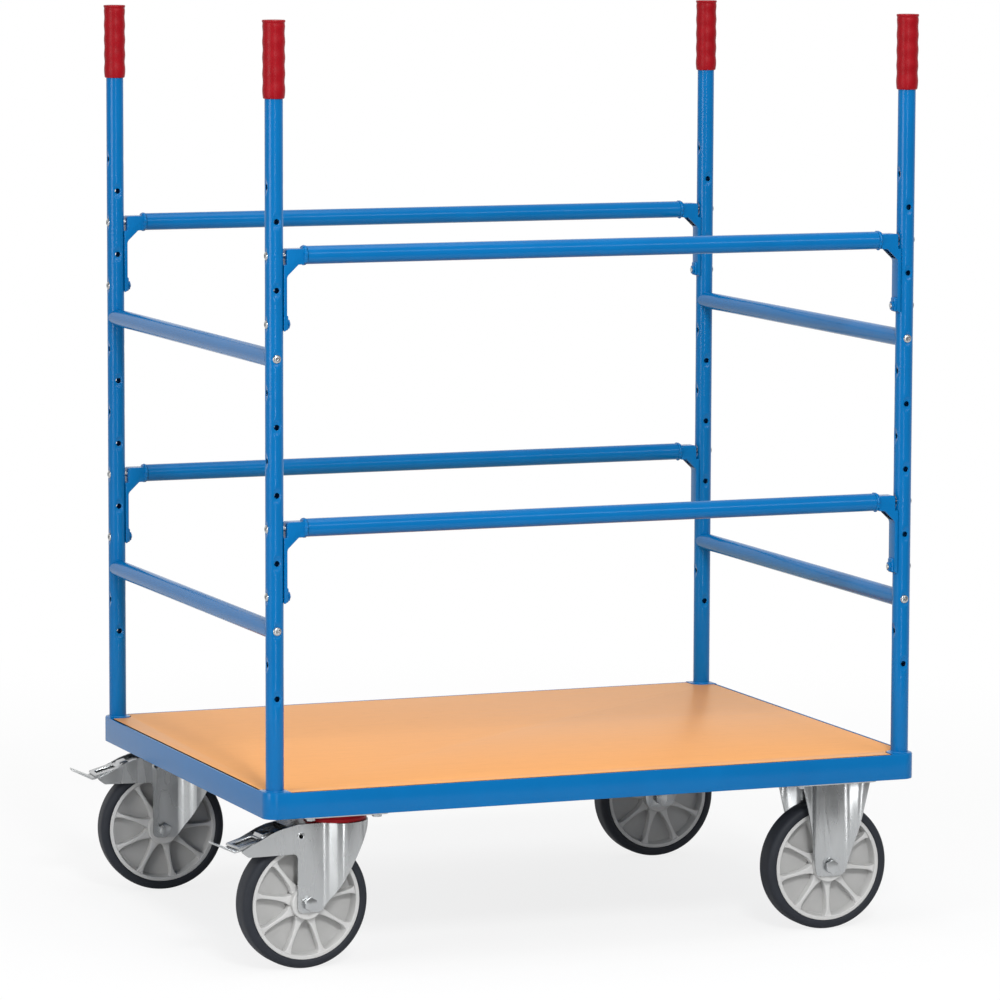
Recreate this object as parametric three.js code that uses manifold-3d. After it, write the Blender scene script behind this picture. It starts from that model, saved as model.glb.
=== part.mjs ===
// Material trolley: a board platform on four castors, with a tube post at each corner
// and two levels of tube rails between the posts. Millimetres, +Z up, standing on z = 0.
import * as THREE from 'three';
import { mergeVertices } from 'three/addons/utils/BufferGeometryUtils.js';
import Module from 'manifold-3d';

const wasm = await Module();
wasm.setup();

// Driving sizes of the whole trolley
const deckLength = 1056;
const deckWidth = 796;
const wheelDiameter = 200;
const castorRise = 35;
const postRise = 1130;
const postInset = 20;
const holePitch = 100;
const lowestFrontHole = 138;

// Fits
const clearance = 0.3;
const boardGap = 0.5;
const pedalGap = 0.6;
const overrun = 5;
const mergeDistance = 0.0001;

// Edge frame of the deck, a welded steel profile with a ledge for the board
const frameHeight = 40;
const frameWall = 3;
const frameCornerRadius = 20;
const ledgeWidth = 20;
const ledgeThickness = 3;
const ledgeCornerRadius = 3;
const cornerPlateSize = 38;
const cornerPlateThickness = 3;
const cornerPlateRadius = 18;

// Board, set a little below the rim of the frame
const boardThickness = 15;
const boardRecess = 1;

// Folded channels across the deck that the castors are bolted to
const channelWidth = 132;
const channelSheet = 3;

// Posts, rails and their screws
const tubeDiameter = 26.9;
const tubeWall = 2;
const postTail = 3;
const holeDiameter = 8.6;
const postHoleCount = 8;
const crossRailHoles = [1, 5];
const railEndWall = 8;
const boltDiameter = holeDiameter - 2 * clearance;
const buttonHeadDiameter = 14;
const buttonHeadHeight = 2.4;
const nutAcross = 13;
const nutHeight = 6;
const railScrewTail = 6;
const boltTail = 1.5;

// Plastic grips on the post tops
const gripLength = 114;
const gripCrestDiameter = 34.4;
const gripWaveDepth = 1.6;
const gripWavePitch = 23;
const gripFirstCrest = 13.3;
const gripWaveCount = 4;
const gripFlangeThickness = 2.6;
const gripCap = 3;

// Folded end brackets of the guard rails
const bracketWidth = 22;
const bracketSheet = 3;
const bracketReach = 43.5;
const bracketOverhang = 10;
const stubRise = 10;
const stubDrop = 13;
const stubStandoff = 2.6;
const gussetSetback = 9;
const gussetDrop = 17;
const padHeight = 22;
const padWidth = 15;
const padProud = 3.5;
const padChamfer = 3.5;
const padLift = 2;
const lowNutHeight = 2.6;
const weldRingDiameter = 29.4;
const weldRingWidth = 5;
const weldRingRound = 0.9;

// Wheels, shared by all four castors
const wheelWidth = 40;
const tyreWall = 14;
const rimLip = 6;
const rimWidth = 38;
const webThickness = 7;
const hubDiameter = 50;
const hubLength = 52;
const spokeCount = 9;
const spokeWidth = 33;
const spokeRoot = 8.5;
const spokeWaist = 2.2;
const spokeFlare = 5;
const spokeBite = 1;
const hubPlay = 1;
const axleDiameter = 12;
const axleHeadAcross = 19;
const axleHeadHeight = 7.5;
const axleNutHeight = 9;

// Castor plates and their bolts
const plateLength = 135;
const plateWidth = 110;
const plateThickness = 6;
const plateCornerRadius = 10;
const plateBoltSpacingX = 105;
const plateBoltSpacingY = 76;
const plateBoltHead = 4.5;
const castorInset = 67;

// Swivel castors at the left end. The fork is one deep-drawn sheet.
const swivelInset = 131;
const trail = 54;
const swivelAngles = { front: 3.2, back: -6 };
const forkSheet = 3;
const headRadius = 49;
const headCrease = 12;
const legCrease = 27;
const legFront = 72;
const legFoot = 13;
const legFootRadius = 6;
const crownGap = 15;
const noseReach = 160;
const noseDrop = 34;
const noseKnuckle = 149;
const houseDrop = 44;
const houseFilletRadius = 8;
const houseShoulder = 128;
const houseShoulderDrop = 18;
const houseBrow = 100;
const houseBrowDrop = 6;
const crownStart = 95;
const slopeFootX = -31;
const slopeFootRise = 6;
const sealRadius = 47;
const raceRadius = 30;
const kingpinDiameter = 14;
const kingpinNutAcross = 24;
const kingpinNutHeight = 7;

// Brake pedal on two hollow rivets in the sides of the fork
const pivotX = -67;
const pivotDrop = 18;
const rivetDiameter = 10;
const rivetHole = 6.4;
const rivetRing = 12.4;
const rivetRingProud = 0.8;
const rivetLength = 8.5;
const pedalSheet = 3;
const pedalFlange = 3;
const pedalFlangeDrop = 9;
const earRadius = 9;
const pedalBrow = -98;
const pedalBrowRise = 8;
const pedalEnd = -164;
const pedalEndDrop = 12;
const windowLength = 30;
const windowWidth = 26;
const windowRadius = 4;
const windowCentre = -144;
const bridgeStart = -127;
const bridgeEnd = -107;
const bridgeWidth = 30;
const bridgeRise = 4;
const shoeCentre = -110;
const shoeLength = 12;
const shoeWidth = 30;
const shoeDepth = 12;
const tongueRoot = -124;
const tongueTip = -199;
const tongueRootWidth = 44;
const tongueTipWidth = 16;
const tongueTipDrop = 2.5;
const tongueKnee = -168;
const tongueSheet = 3;

// Fixed castors at the right end. Each leg is pressed to a hat section.
const fixedInset = 126;
const fixedLegHalf = 25.5;
const fixedWallEnd = 42;
const fixedFlangeEnd = 56;
const fixedFlangeOffset = 50;
const fixedFoot = 15;
const fixedFootRadius = 11;

// Rest angles of the wheels, in degrees from the forward direction
const wheelAngles = {
  swivel_front: -71,
  swivel_back: -78,
  fixed_front: -87.5,
  fixed_back: -65,
};

// Facets of round forms
const tubeSides = 16;
const boreSides = 8;
const headSides = 8;
const boltSides = 6;
const wheelSides = 30;
const pocketSides = 2 * spokeCount;
const hubSides = 12;
const gripSides = 12;
const waveSteps = 3;
const arcSteps = 2;
const headArcSteps = 9;

// Heights and places that follow from the sizes above
const castorHeight = wheelDiameter + castorRise;
const deckTop = castorHeight + frameHeight;
const boardTop = deckTop - boardRecess;
const boardBottom = boardTop - boardThickness;
const ledgeTop = boardBottom - clearance;
const ledgeBottom = ledgeTop - ledgeThickness;
const postX = deckLength / 2 - postInset;
const postY = deckWidth / 2 - postInset;
const tubeRadius = tubeDiameter / 2;
const tubeBore = tubeRadius - tubeWall;
const seatRadius = tubeRadius + clearance;
const postBottom = ledgeBottom - postTail;
const postTop = deckTop + postRise - gripCap - clearance;
const frontHoleHeights = [];
const sideHoleHeights = [];
for (let i = 0; i < postHoleCount; i += 1) {
  const height = deckTop + lowestFrontHole + i * holePitch;
  frontHoleHeights.push(height);
  sideHoleHeights.push(height + holePitch / 2);
}
const wheelRadius = wheelDiameter / 2;
const rimRadius = wheelRadius - tyreWall;
const axleHeight = wheelRadius;
const axleBore = axleDiameter + 2 * clearance;
const forkHalfWidth = hubLength / 2 + hubPlay + forkSheet;
const castorY = deckWidth / 2 - castorInset;
const swivelX = swivelInset - deckLength / 2;
const fixedX = deckLength / 2 - fixedInset;
const plateTop = castorHeight - clearance;
const plateBottom = plateTop - plateThickness;
const crownTop = castorHeight - crownGap;
const crownBottom = crownTop - forkSheet;
const pivotZ = crownTop - pivotDrop;
const pedalTail = pivotZ + earRadius;
const pedalBrowZ = pivotZ + pedalBrowRise;
const pedalEndZ = pivotZ - pedalEndDrop;
const pedalSlope = (pedalBrowZ - pedalEndZ) / (pedalBrow - pedalEnd);

// Finishes
const finishes = {
  blueSteel: { color: 0x0071bc, roughness: 0.35, metalness: 0.1 },
  beechBoard: { color: 0xf6bd86, roughness: 0.55, metalness: 0 },
  redPlastic: { color: 0xb4121f, roughness: 0.45, metalness: 0 },
  zinc: { color: 0xa9adab, roughness: 0.35, metalness: 0.9 },
  greyPlastic: { color: 0xb4b2ae, roughness: 0.5, metalness: 0 },
  rubber: { color: 0x30353f, roughness: 0.7, metalness: 0 },
};

// Makes a joinable solid of a closed three.js geometry.
function solidOf(geometry) {
  const bare = geometry.clone();
  bare.deleteAttribute('normal');
  bare.deleteAttribute('uv');
  const merged = mergeVertices(bare, mergeDistance);
  const places = merged.attributes.position;
  const corners = merged.index.array;
  const kept = [];
  let volume = 0;
  const [a, b, c] = [new THREE.Vector3(), new THREE.Vector3(), new THREE.Vector3()];
  for (let i = 0; i < corners.length; i += 3) {
    const [p, q, r] = [corners[i], corners[i + 1], corners[i + 2]];
    if (p === q || q === r || r === p) continue;
    a.fromBufferAttribute(places, p);
    b.fromBufferAttribute(places, q);
    c.fromBufferAttribute(places, r);
    volume += a.dot(b.cross(c));
    kept.push(p, q, r);
  }
  if (volume < 0) kept.reverse();
  return new wasm.Manifold(new wasm.Mesh({
    numProp: 3,
    vertProperties: new Float32Array(places.array),
    triVerts: new Uint32Array(kept),
  }));
}

// Turns a solid back into a three.js geometry.
function geometryOf(solid) {
  const mesh = solid.getMesh();
  const geometry = new THREE.BufferGeometry();
  geometry.setAttribute('position', new THREE.BufferAttribute(mesh.vertProperties, 3));
  geometry.setIndex(new THREE.BufferAttribute(mesh.triVerts, 1));
  geometry.computeVertexNormals();
  return geometry;
}

// Directions of a drawn outline and its depth for each axis that it can be extruded along
const extrusionFrames = {
  x: [new THREE.Vector3(0, 1, 0), new THREE.Vector3(0, 0, 1), new THREE.Vector3(1, 0, 0)],
  y: [new THREE.Vector3(1, 0, 0), new THREE.Vector3(0, 0, 1), new THREE.Vector3(0, -1, 0)],
  z: [new THREE.Vector3(1, 0, 0), new THREE.Vector3(0, 1, 0), new THREE.Vector3(0, 0, 1)],
};

// Extrudes an outline along an axis, from one place on that axis to another.
function prism(shape, axis, from, to) {
  const depth = to - from;
  const geometry = new THREE.ExtrudeGeometry(shape, {
    depth, bevelEnabled: false, curveSegments: arcSteps,
  });
  geometry.applyMatrix4(new THREE.Matrix4().makeBasis(...extrusionFrames[axis]));
  const start = axis === 'y' ? to : from;
  geometry.translate(axis === 'x' ? start : 0, axis === 'y' ? start : 0, axis === 'z' ? start : 0);
  return solidOf(geometry);
}

// Turns a profile of [radius, place along the axis] pairs about an axis.
function turned(profile, axis, sides) {
  const points = profile.map(([radius, place]) => new THREE.Vector2(radius, place));
  const geometry = new THREE.LatheGeometry(points, sides);
  if (axis === 'z') geometry.rotateX(Math.PI / 2);
  if (axis === 'x') geometry.rotateZ(-Math.PI / 2);
  return solidOf(geometry);
}

function rod(radius, axis, from, to, sides) {
  return turned([[0, from], [radius, from], [radius, to], [0, to]], axis, sides);
}

function pipe(outer, inner, axis, from, to, sides) {
  const ring = [[inner, from], [outer, from], [outer, to], [inner, to], [inner, from]];
  return turned(ring, axis, sides);
}

// A block between two corners.
function block(x0, x1, y0, y1, z0, z1) {
  const geometry = new THREE.BoxGeometry(x1 - x0, y1 - y0, z1 - z0);
  geometry.translate((x0 + x1) / 2, (y0 + y1) / 2, (z0 + z1) / 2);
  return solidOf(geometry);
}

function outline(points) {
  return new THREE.Shape(points.map(([x, y]) => new THREE.Vector2(x, y)));
}

function roundedRectangle(length, width, radius) {
  const [x, y] = [length / 2, width / 2];
  const shape = new THREE.Shape();
  shape.moveTo(-x + radius, -y);
  shape.lineTo(x - radius, -y);
  shape.absarc(x - radius, -y + radius, radius, -Math.PI / 2, 0);
  shape.lineTo(x, y - radius);
  shape.absarc(x - radius, y - radius, radius, 0, Math.PI / 2);
  shape.lineTo(-x + radius, y);
  shape.absarc(-x + radius, y - radius, radius, Math.PI / 2, Math.PI);
  shape.lineTo(-x, -y + radius);
  shape.absarc(-x + radius, -y + radius, radius, Math.PI, 3 * Math.PI / 2);
  return shape;
}

function hexagon(across) {
  const corner = across / Math.sqrt(3);
  const points = [];
  for (let i = 0; i < 6; i += 1) {
    const angle = i * Math.PI / 3;
    points.push([corner * Math.cos(angle), corner * Math.sin(angle)]);
  }
  return outline(points);
}

// Outline of a bent sheet whose one face runs through the points, with the thickness on their left.
function sheetOutline(points, thickness) {
  const path = points.map(([x, y]) => new THREE.Vector2(x, y));
  const normals = [];
  for (let i = 0; i + 1 < path.length; i += 1) {
    const run = path[i + 1].clone().sub(path[i]).normalize();
    normals.push(new THREE.Vector2(-run.y, run.x));
  }
  const offset = path.map((point, i) => {
    const before = normals[Math.max(i - 1, 0)];
    const after = normals[Math.min(i, normals.length - 1)];
    const mitre = before.clone().add(after).normalize();
    return point.clone().add(mitre.multiplyScalar(thickness / mitre.dot(before)));
  });
  return new THREE.Shape([...path, ...offset.reverse()]);
}

function unite(solids) {
  return solids.reduce((whole, piece) => whole.add(piece));
}

const trolley = new THREE.Group();

function addPiece(name, solid, finish, group = trolley) {
  const mesh = new THREE.Mesh(geometryOf(solid), new THREE.MeshStandardMaterial(finishes[finish]));
  mesh.name = name;
  group.add(mesh);
}

// The four corners of the deck, as signs of x and y, with the turn from the first in degrees
const corners = [
  { name: 'front_left', x: -1, y: -1, turn: 0 },
  { name: 'back_left', x: -1, y: 1, turn: 270 },
  { name: 'front_right', x: 1, y: -1, turn: 90 },
  { name: 'back_right', x: 1, y: 1, turn: 180 },
];

// Plan of a corner plate, from the corner of the deck: round there, and round again where the
// board's corner meets it.
function cornerShape(size, radius) {
  const shape = new THREE.Shape();
  shape.moveTo(radius, 0);
  shape.lineTo(size, 0);
  shape.lineTo(size, size - radius);
  shape.absarc(size - radius, size - radius, radius, 0, Math.PI / 2);
  shape.lineTo(0, size);
  shape.lineTo(0, radius);
  shape.absarc(radius, radius, radius, Math.PI, 3 * Math.PI / 2);
  return shape;
}

// Edge frame: an upright wall with rounded corners, a ledge under the board and a plate in each
// corner, all with a seat for the post that is welded in.
function deckFrame() {
  const wall = roundedRectangle(deckLength, deckWidth, frameCornerRadius);
  wall.holes.push(roundedRectangle(
    deckLength - 2 * frameWall, deckWidth - 2 * frameWall, frameCornerRadius - frameWall,
  ));
  const ledge = roundedRectangle(deckLength - frameWall, deckWidth - frameWall, frameCornerRadius);
  const inside = 2 * (frameWall + ledgeWidth);
  ledge.holes.push(roundedRectangle(deckLength - inside, deckWidth - inside, ledgeCornerRadius));
  let frame = prism(wall, 'z', castorHeight, deckTop).add(prism(ledge, 'z', ledgeBottom, ledgeTop));
  const plate = cornerShape(cornerPlateSize, cornerPlateRadius);
  const [reachX, reachY] = [(deckLength - frameWall) / 2, (deckWidth - frameWall) / 2];
  for (const corner of corners) {
    const top = prism(plate, 'z', deckTop - cornerPlateThickness, deckTop);
    frame = frame.add(top.rotate([0, 0, corner.turn])
      .translate([corner.x * reachX, corner.y * reachY, 0]));
  }
  for (const corner of corners) {
    const seat = rod(seatRadius, 'z', postBottom, deckTop + overrun, tubeSides);
    frame = frame.subtract(seat.translate([corner.x * postX, corner.y * postY, 0]));
  }
  return frame;
}

// Board: fills the frame, with a round notch for each corner plate and post.
function deckBoard() {
  const x = deckLength / 2 - frameWall - boardGap;
  const y = deckWidth / 2 - frameWall - boardGap;
  let board = block(-x, x, -y, y, boardBottom, boardTop);
  const notch = cornerShape(2 * cornerPlateSize + boardGap, cornerPlateRadius + boardGap);
  const outside = cornerPlateSize - frameWall / 2;
  const [reachX, reachY] = [deckLength / 2 + outside, deckWidth / 2 + outside];
  for (const corner of corners) {
    const cut = prism(notch, 'z', boardBottom - overrun, boardTop + overrun);
    board = board.subtract(cut.rotate([0, 0, corner.turn])
      .translate([corner.x * reachX, corner.y * reachY, 0]));
  }
  return board;
}

// Places of the four plate bolts about the middle of a castor plate
function plateBoltPlaces() {
  const places = [];
  for (const x of [-1, 1]) {
    for (const y of [-1, 1]) places.push([x * plateBoltSpacingX / 2, y * plateBoltSpacingY / 2]);
  }
  return places;
}

// Channel across the deck, open at the top, that carries the board and two castors.
function castorChannel() {
  const half = channelWidth / 2;
  const rise = ledgeTop - castorHeight;
  const profile = outline([
    [-half, 0], [half, 0], [half, rise], [half - channelSheet, rise],
    [half - channelSheet, channelSheet], [-half + channelSheet, channelSheet],
    [-half + channelSheet, rise], [-half, rise],
  ]);
  const end = deckWidth / 2 - frameWall - clearance;
  let channel = prism(profile, 'y', -end, end).translate([0, 0, castorHeight]);
  const ledgeStart = deckWidth / 2 - frameWall - ledgeWidth - clearance;
  for (const side of [-1, 1]) {
    const [y0, y1] = side < 0 ? [-deckWidth, -ledgeStart] : [ledgeStart, deckWidth];
    const notchBottom = ledgeBottom - clearance;
    channel = channel.subtract(block(-channelWidth, channelWidth, y0, y1, notchBottom, deckTop));
    for (const [x, y] of plateBoltPlaces()) {
      const hole = rod(holeDiameter / 2, 'z', castorHeight - overrun,
        castorHeight + channelSheet + overrun, boltSides);
      channel = channel.subtract(hole.translate([x, y + side * castorY, 0]));
    }
  }
  return channel;
}

// Corner post: a tube with holes through it, in turn from the front and from the side.
function post() {
  const reach = tubeRadius + overrun;
  const bore = rod(tubeBore, 'z', postBottom - overrun, postTop + overrun, boreSides);
  let tube = rod(tubeRadius, 'z', postBottom, postTop, tubeSides)
    .subtract(bore.rotate([0, 0, 180 / boreSides]));
  for (let i = 0; i < postHoleCount; i += 1) {
    const front = rod(holeDiameter / 2, 'y', -reach, reach, boltSides);
    const side = rod(holeDiameter / 2, 'x', -reach, reach, boltSides);
    tube = tube.subtract(front.translate([0, 0, frontHoleHeights[i]]));
    tube = tube.subtract(side.translate([0, 0, sideHoleHeights[i]]));
  }
  return tube;
}

// Grip: a wavy sleeve, closed by a thin flange at the top.
function grip() {
  const crest = gripCrestDiameter / 2;
  const top = deckTop + postRise;
  const bottom = top - gripLength;
  const radiusAt = (height) => {
    const phase = 2 * Math.PI * (height - gripFirstCrest) / gripWavePitch;
    return crest - gripWaveDepth * (1 - Math.cos(phase)) / 2;
  };
  const profile = [[0, bottom], [radiusAt(0) - gripWaveDepth / 2, bottom]];
  const waveStep = gripWavePitch / waveSteps;
  for (let i = 0; i <= gripWaveCount * waveSteps; i += 1) {
    const height = gripFirstCrest + i * waveStep;
    profile.push([radiusAt(height), bottom + height]);
  }
  profile.push([crest - gripWaveDepth, top - gripFlangeThickness]);
  profile.push([crest, top - gripFlangeThickness], [crest, top], [0, top]);
  const seat = rod(seatRadius, 'z', bottom - overrun, top - gripCap, tubeSides);
  return turned(profile, 'z', gripSides).subtract(seat);
}

// Cross rail: a tube from front post to back post. Its ends are shaped to the posts and closed
// by walls that the screws hold in.
function crossRail(height) {
  const hollow = postY - seatRadius - railEndWall;
  let rail = rod(tubeRadius, 'y', -postY, postY, tubeSides);
  rail = rail.subtract(rod(tubeBore, 'y', -hollow, hollow, tubeSides));
  rail = rail.subtract(rod(holeDiameter / 2, 'y', -postY, postY, boltSides));
  for (const side of [-1, 1]) {
    const seat = rod(seatRadius, 'z', -tubeDiameter, tubeDiameter, tubeSides);
    rail = rail.subtract(seat.translate([0, side * postY, 0]));
  }
  return rail.translate([0, 0, height]);
}

// Button head on the outside of a post, along x, with its shank through the post
function buttonBolt(end) {
  const radius = buttonHeadDiameter / 2;
  const crown = seatRadius + buttonHeadHeight;
  const head = turned([[0, -crown], [radius / 2, -crown], [radius, -seatRadius], [0, -seatRadius]],
    'x', headSides);
  return head.add(rod(boltDiameter / 2, 'x', -seatRadius - buttonHeadHeight / 2, end, boltSides));
}

// Screw of a cross rail, drawn along x. It ends inside the rail.
function crossRailScrew() {
  return buttonBolt(seatRadius + railEndWall + railScrewTail);
}

// Guard rail: a plain tube between the weld rings of its two brackets.
function guardRail() {
  const end = postX - bracketReach - weldRingWidth - clearance;
  return pipe(tubeRadius, tubeBore, 'x', -end, end, tubeSides);
}

// End bracket of a guard rail, with the post axis at x = 0 and the rail axis at z = 0. A folded
// sheet: a leg that hugs the post, and a stub with cut cheeks that the rail is welded to.
function railBracket() {
  const legFace = seatRadius + bracketSheet;
  const stubStart = seatRadius + stubStandoff;
  const stubInside = stubStart + bracketSheet;
  const foot = -holePitch - bracketOverhang;
  const inner = bracketWidth / 2 - bracketSheet;
  const hug = Math.sqrt(seatRadius ** 2 - inner ** 2) + clearance;
  const side = outline([
    [stubStart, stubRise], [bracketReach, stubRise], [bracketReach, -stubDrop],
    [bracketReach - gussetSetback, -stubDrop], [legFace, -stubDrop - gussetDrop],
    [legFace, foot + bracketSheet], [seatRadius, foot], [hug, foot], [hug, -stubDrop],
    [stubStart, -stubDrop],
  ]);
  let body = prism(side, 'y', -bracketWidth / 2, bracketWidth / 2);
  body = body.subtract(block(stubInside, bracketReach - bracketSheet, -inner, inner,
    -stubDrop - gussetDrop, stubRise - bracketSheet));
  body = body.subtract(block(0, seatRadius, -inner, inner, foot - overrun, 0));
  const padEnd = legFace + padProud;
  const [padY, padZ] = [padWidth / 2, padHeight / 2];
  const padSolid = prism(outline([
    [-padY, -padZ + padChamfer], [-padY + padChamfer, -padZ], [padY - padChamfer, -padZ],
    [padY, -padZ + padChamfer], [padY, padZ], [-padY, padZ],
  ]), 'x', seatRadius, padEnd).translate([0, 0, -holePitch + padLift]);
  const ring = weldRingDiameter / 2;
  const ringEnd = bracketReach + weldRingWidth;
  const weld = turned([
    [0, bracketReach - bracketSheet / 2], [ring - weldRingRound, bracketReach],
    [ring, bracketReach + weldRingWidth / 2], [ring - weldRingRound, ringEnd], [0, ringEnd],
  ], 'x', hubSides);
  const highNutEnd = stubInside + nutHeight;
  const lowNutEnd = padEnd + lowNutHeight;
  const highNut = prism(hexagon(nutAcross), 'x', stubStart, highNutEnd);
  const lowNut = prism(hexagon(nutAcross), 'x', seatRadius, lowNutEnd);
  const highBolt = buttonBolt(highNutEnd + boltTail);
  const lowBolt = buttonBolt(lowNutEnd + boltTail);
  const low = [0, 0, -holePitch];
  return unite([
    body, padSolid, weld, highNut, highBolt, lowNut.translate(low), lowBolt.translate(low),
  ]);
}

// Plate bolts: heads under the plate and nuts on the web of the channel.
function plateBolts() {
  const bolts = plateBoltPlaces().map(([x, y]) => {
    const nutBottom = castorHeight + channelSheet + clearance;
    const head = prism(hexagon(nutAcross), 'z', plateBottom - plateBoltHead, plateBottom);
    const shank = rod(boltDiameter / 2, 'z', plateBottom, nutBottom + nutHeight, boltSides);
    const nut = prism(hexagon(nutAcross), 'z', nutBottom, nutBottom + nutHeight);
    return unite([head, shank, nut]).translate([x, y, 0]);
  });
  return unite(bolts);
}

function castorPlate() {
  const plate = roundedRectangle(plateLength, plateWidth, plateCornerRadius);
  return prism(plate, 'z', plateBottom, plateTop).add(plateBolts());
}

// Swivel castor: its top plate with the ball race, the kingpin and the kingpin's nut.
function swivelPlate() {
  const raceBottom = crownTop + clearance;
  const nutTop = crownBottom - clearance;
  const nutBottom = nutTop - kingpinNutHeight;
  const race = rod(raceRadius, 'z', raceBottom, plateBottom, wheelSides);
  const pin = rod(kingpinDiameter / 2, 'z', nutBottom, raceBottom, hubSides);
  const nut = prism(hexagon(kingpinNutAcross), 'z', nutBottom, nutTop);
  return unite([castorPlate(), race, pin, nut]);
}

// Seal ring round the ball race.
function sealRing() {
  const bottom = crownTop + clearance;
  const top = plateBottom - clearance;
  return pipe(sealRadius, raceRadius + clearance, 'z', bottom, top, wheelSides);
}

// Plan of the swivel fork: its outer face, from the nose along one side, round the head and
// back along the other side. It is drawn with the sheet on the left of the path.
function forkPlan() {
  const start = Math.atan2(-Math.sqrt(headRadius ** 2 - headCrease ** 2), -headCrease);
  const points = [[-noseReach, -forkHalfWidth], [-legCrease, -forkHalfWidth]];
  for (let i = 0; i <= headArcSteps; i += 1) {
    const angle = start * (1 - 2 * i / headArcSteps);
    points.push([headRadius * Math.cos(angle), headRadius * Math.sin(angle)]);
  }
  points.push([-legCrease, forkHalfWidth], [-noseReach, forkHalfWidth]);
  return points;
}

// Side view of the swivel fork: leg, brake housing and crown.
function forkSide() {
  const foot = axleHeight - legFoot;
  const houseFloor = crownTop - houseDrop;
  const shape = new THREE.Shape();
  shape.moveTo(-noseKnuckle, houseFloor);
  shape.lineTo(-legFront - houseFilletRadius, houseFloor);
  shape.absarc(-legFront - houseFilletRadius, houseFloor - houseFilletRadius, houseFilletRadius,
    Math.PI / 2, 0, true);
  shape.lineTo(-legFront, foot + legFootRadius);
  shape.absarc(-legFront + legFootRadius, foot + legFootRadius, legFootRadius,
    Math.PI, 3 * Math.PI / 2);
  shape.lineTo(slopeFootX - legFootRadius, foot);
  shape.lineTo(slopeFootX, foot + slopeFootRise);
  shape.lineTo(headRadius - legFootRadius, crownTop - legFootRadius);
  shape.lineTo(headRadius, crownTop);
  shape.lineTo(pivotX, crownTop);
  shape.lineTo(-houseBrow, crownTop - houseBrowDrop);
  shape.lineTo(-houseShoulder, crownTop - houseShoulderDrop);
  shape.lineTo(-noseReach, crownTop - noseDrop);
  return shape;
}

// Swivel fork: the bent wall cut to the side view, the crown on top, and the hollow rivets.
function swivelFork() {
  const reach = headRadius + overrun;
  const wall = prism(sheetOutline(forkPlan(), forkSheet), 'z', axleHeight - legFoot - overrun,
    crownTop + overrun);
  let fork = wall.intersect(prism(forkSide(), 'y', -reach, reach));
  const crown = prism(outline(forkPlan()), 'z', crownBottom, crownTop);
  fork = fork.add(crown.subtract(block(-noseReach - overrun, -crownStart, -reach, reach, 0, deckTop)));
  const inner = forkHalfWidth - forkSheet;
  for (const side of [-1, 1]) {
    const tip = side * (forkHalfWidth - rivetLength);
    const ring = side * (forkHalfWidth + rivetRingProud);
    const barrel = rod(rivetDiameter / 2, 'y', Math.min(tip, ring), Math.max(tip, ring), hubSides);
    const collar = rod(rivetRing / 2, 'y', Math.min(side * inner, ring), Math.max(side * inner, ring),
      hubSides);
    fork = fork.add(barrel.add(collar).translate([pivotX, 0, pivotZ]));
  }
  fork = fork.subtract(rod(rivetHole / 2, 'y', -reach, reach, hubSides)
    .translate([pivotX, 0, pivotZ]));
  fork = fork.subtract(rod(axleBore / 2, 'y', -reach, reach, hubSides)
    .translate([-trail, 0, axleHeight]));
  return fork.subtract(rod(kingpinDiameter / 2 + clearance, 'z', crownBottom - overrun,
    crownTop + overrun, hubSides));
}

// Brake pedal: a pressed lever of U section with a window and a raised bridge. It turns on the
// rivets of the fork, and a shoe under it meets the tyre when it is pressed down.
function brakePedal() {
  const half = forkHalfWidth - forkSheet - pedalGap;
  const top = [[pivotX, pedalTail], [pedalBrow, pedalBrowZ], [pedalEnd, pedalEndZ]];
  const parts = [prism(sheetOutline(top, pedalSheet), 'y', -half, half)];
  const drop = pedalSheet + pedalFlangeDrop;
  const flangeSide = outline([
    ...top, [pedalEnd, pedalEndZ - pedalSheet], [pedalBrow, pedalBrowZ - drop],
    [pivotX, pivotZ - earRadius],
  ]);
  for (const side of [-1, 1]) {
    const [y0, y1] = side < 0 ? [-half, -half + pedalFlange] : [half - pedalFlange, half];
    parts.push(prism(flangeSide, 'y', y0, y1));
    parts.push(rod(earRadius, 'y', y0, y1, hubSides).translate([pivotX, 0, pivotZ]));
  }
  const surface = (x) => pedalEndZ + pedalSlope * (x - pedalEnd);
  parts.push(block(shoeCentre - shoeLength / 2, shoeCentre + shoeLength / 2, -shoeWidth / 2,
    shoeWidth / 2, surface(shoeCentre) - shoeDepth, surface(shoeCentre) - pedalSheet / 2));
  parts.push(prism(outline([
    [bridgeStart, surface(bridgeStart) - pedalSheet / 2],
    [bridgeEnd, surface(bridgeEnd) - pedalSheet / 2],
    [bridgeEnd - bridgeRise, surface(bridgeEnd - bridgeRise) + bridgeRise],
    [bridgeStart + bridgeRise, surface(bridgeStart + bridgeRise) + bridgeRise],
  ]), 'y', -bridgeWidth / 2, bridgeWidth / 2));
  const pivotHole = rod(rivetDiameter / 2 + clearance, 'y', -half - overrun, half + overrun, hubSides);
  const window = roundedRectangle(windowLength, windowWidth, windowRadius);
  return unite(parts)
    .subtract(pivotHole.translate([pivotX, 0, pivotZ]))
    .subtract(prism(window, 'z', pedalEndZ - drop, pedalTail).translate([windowCentre, 0, 0]));
}

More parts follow.
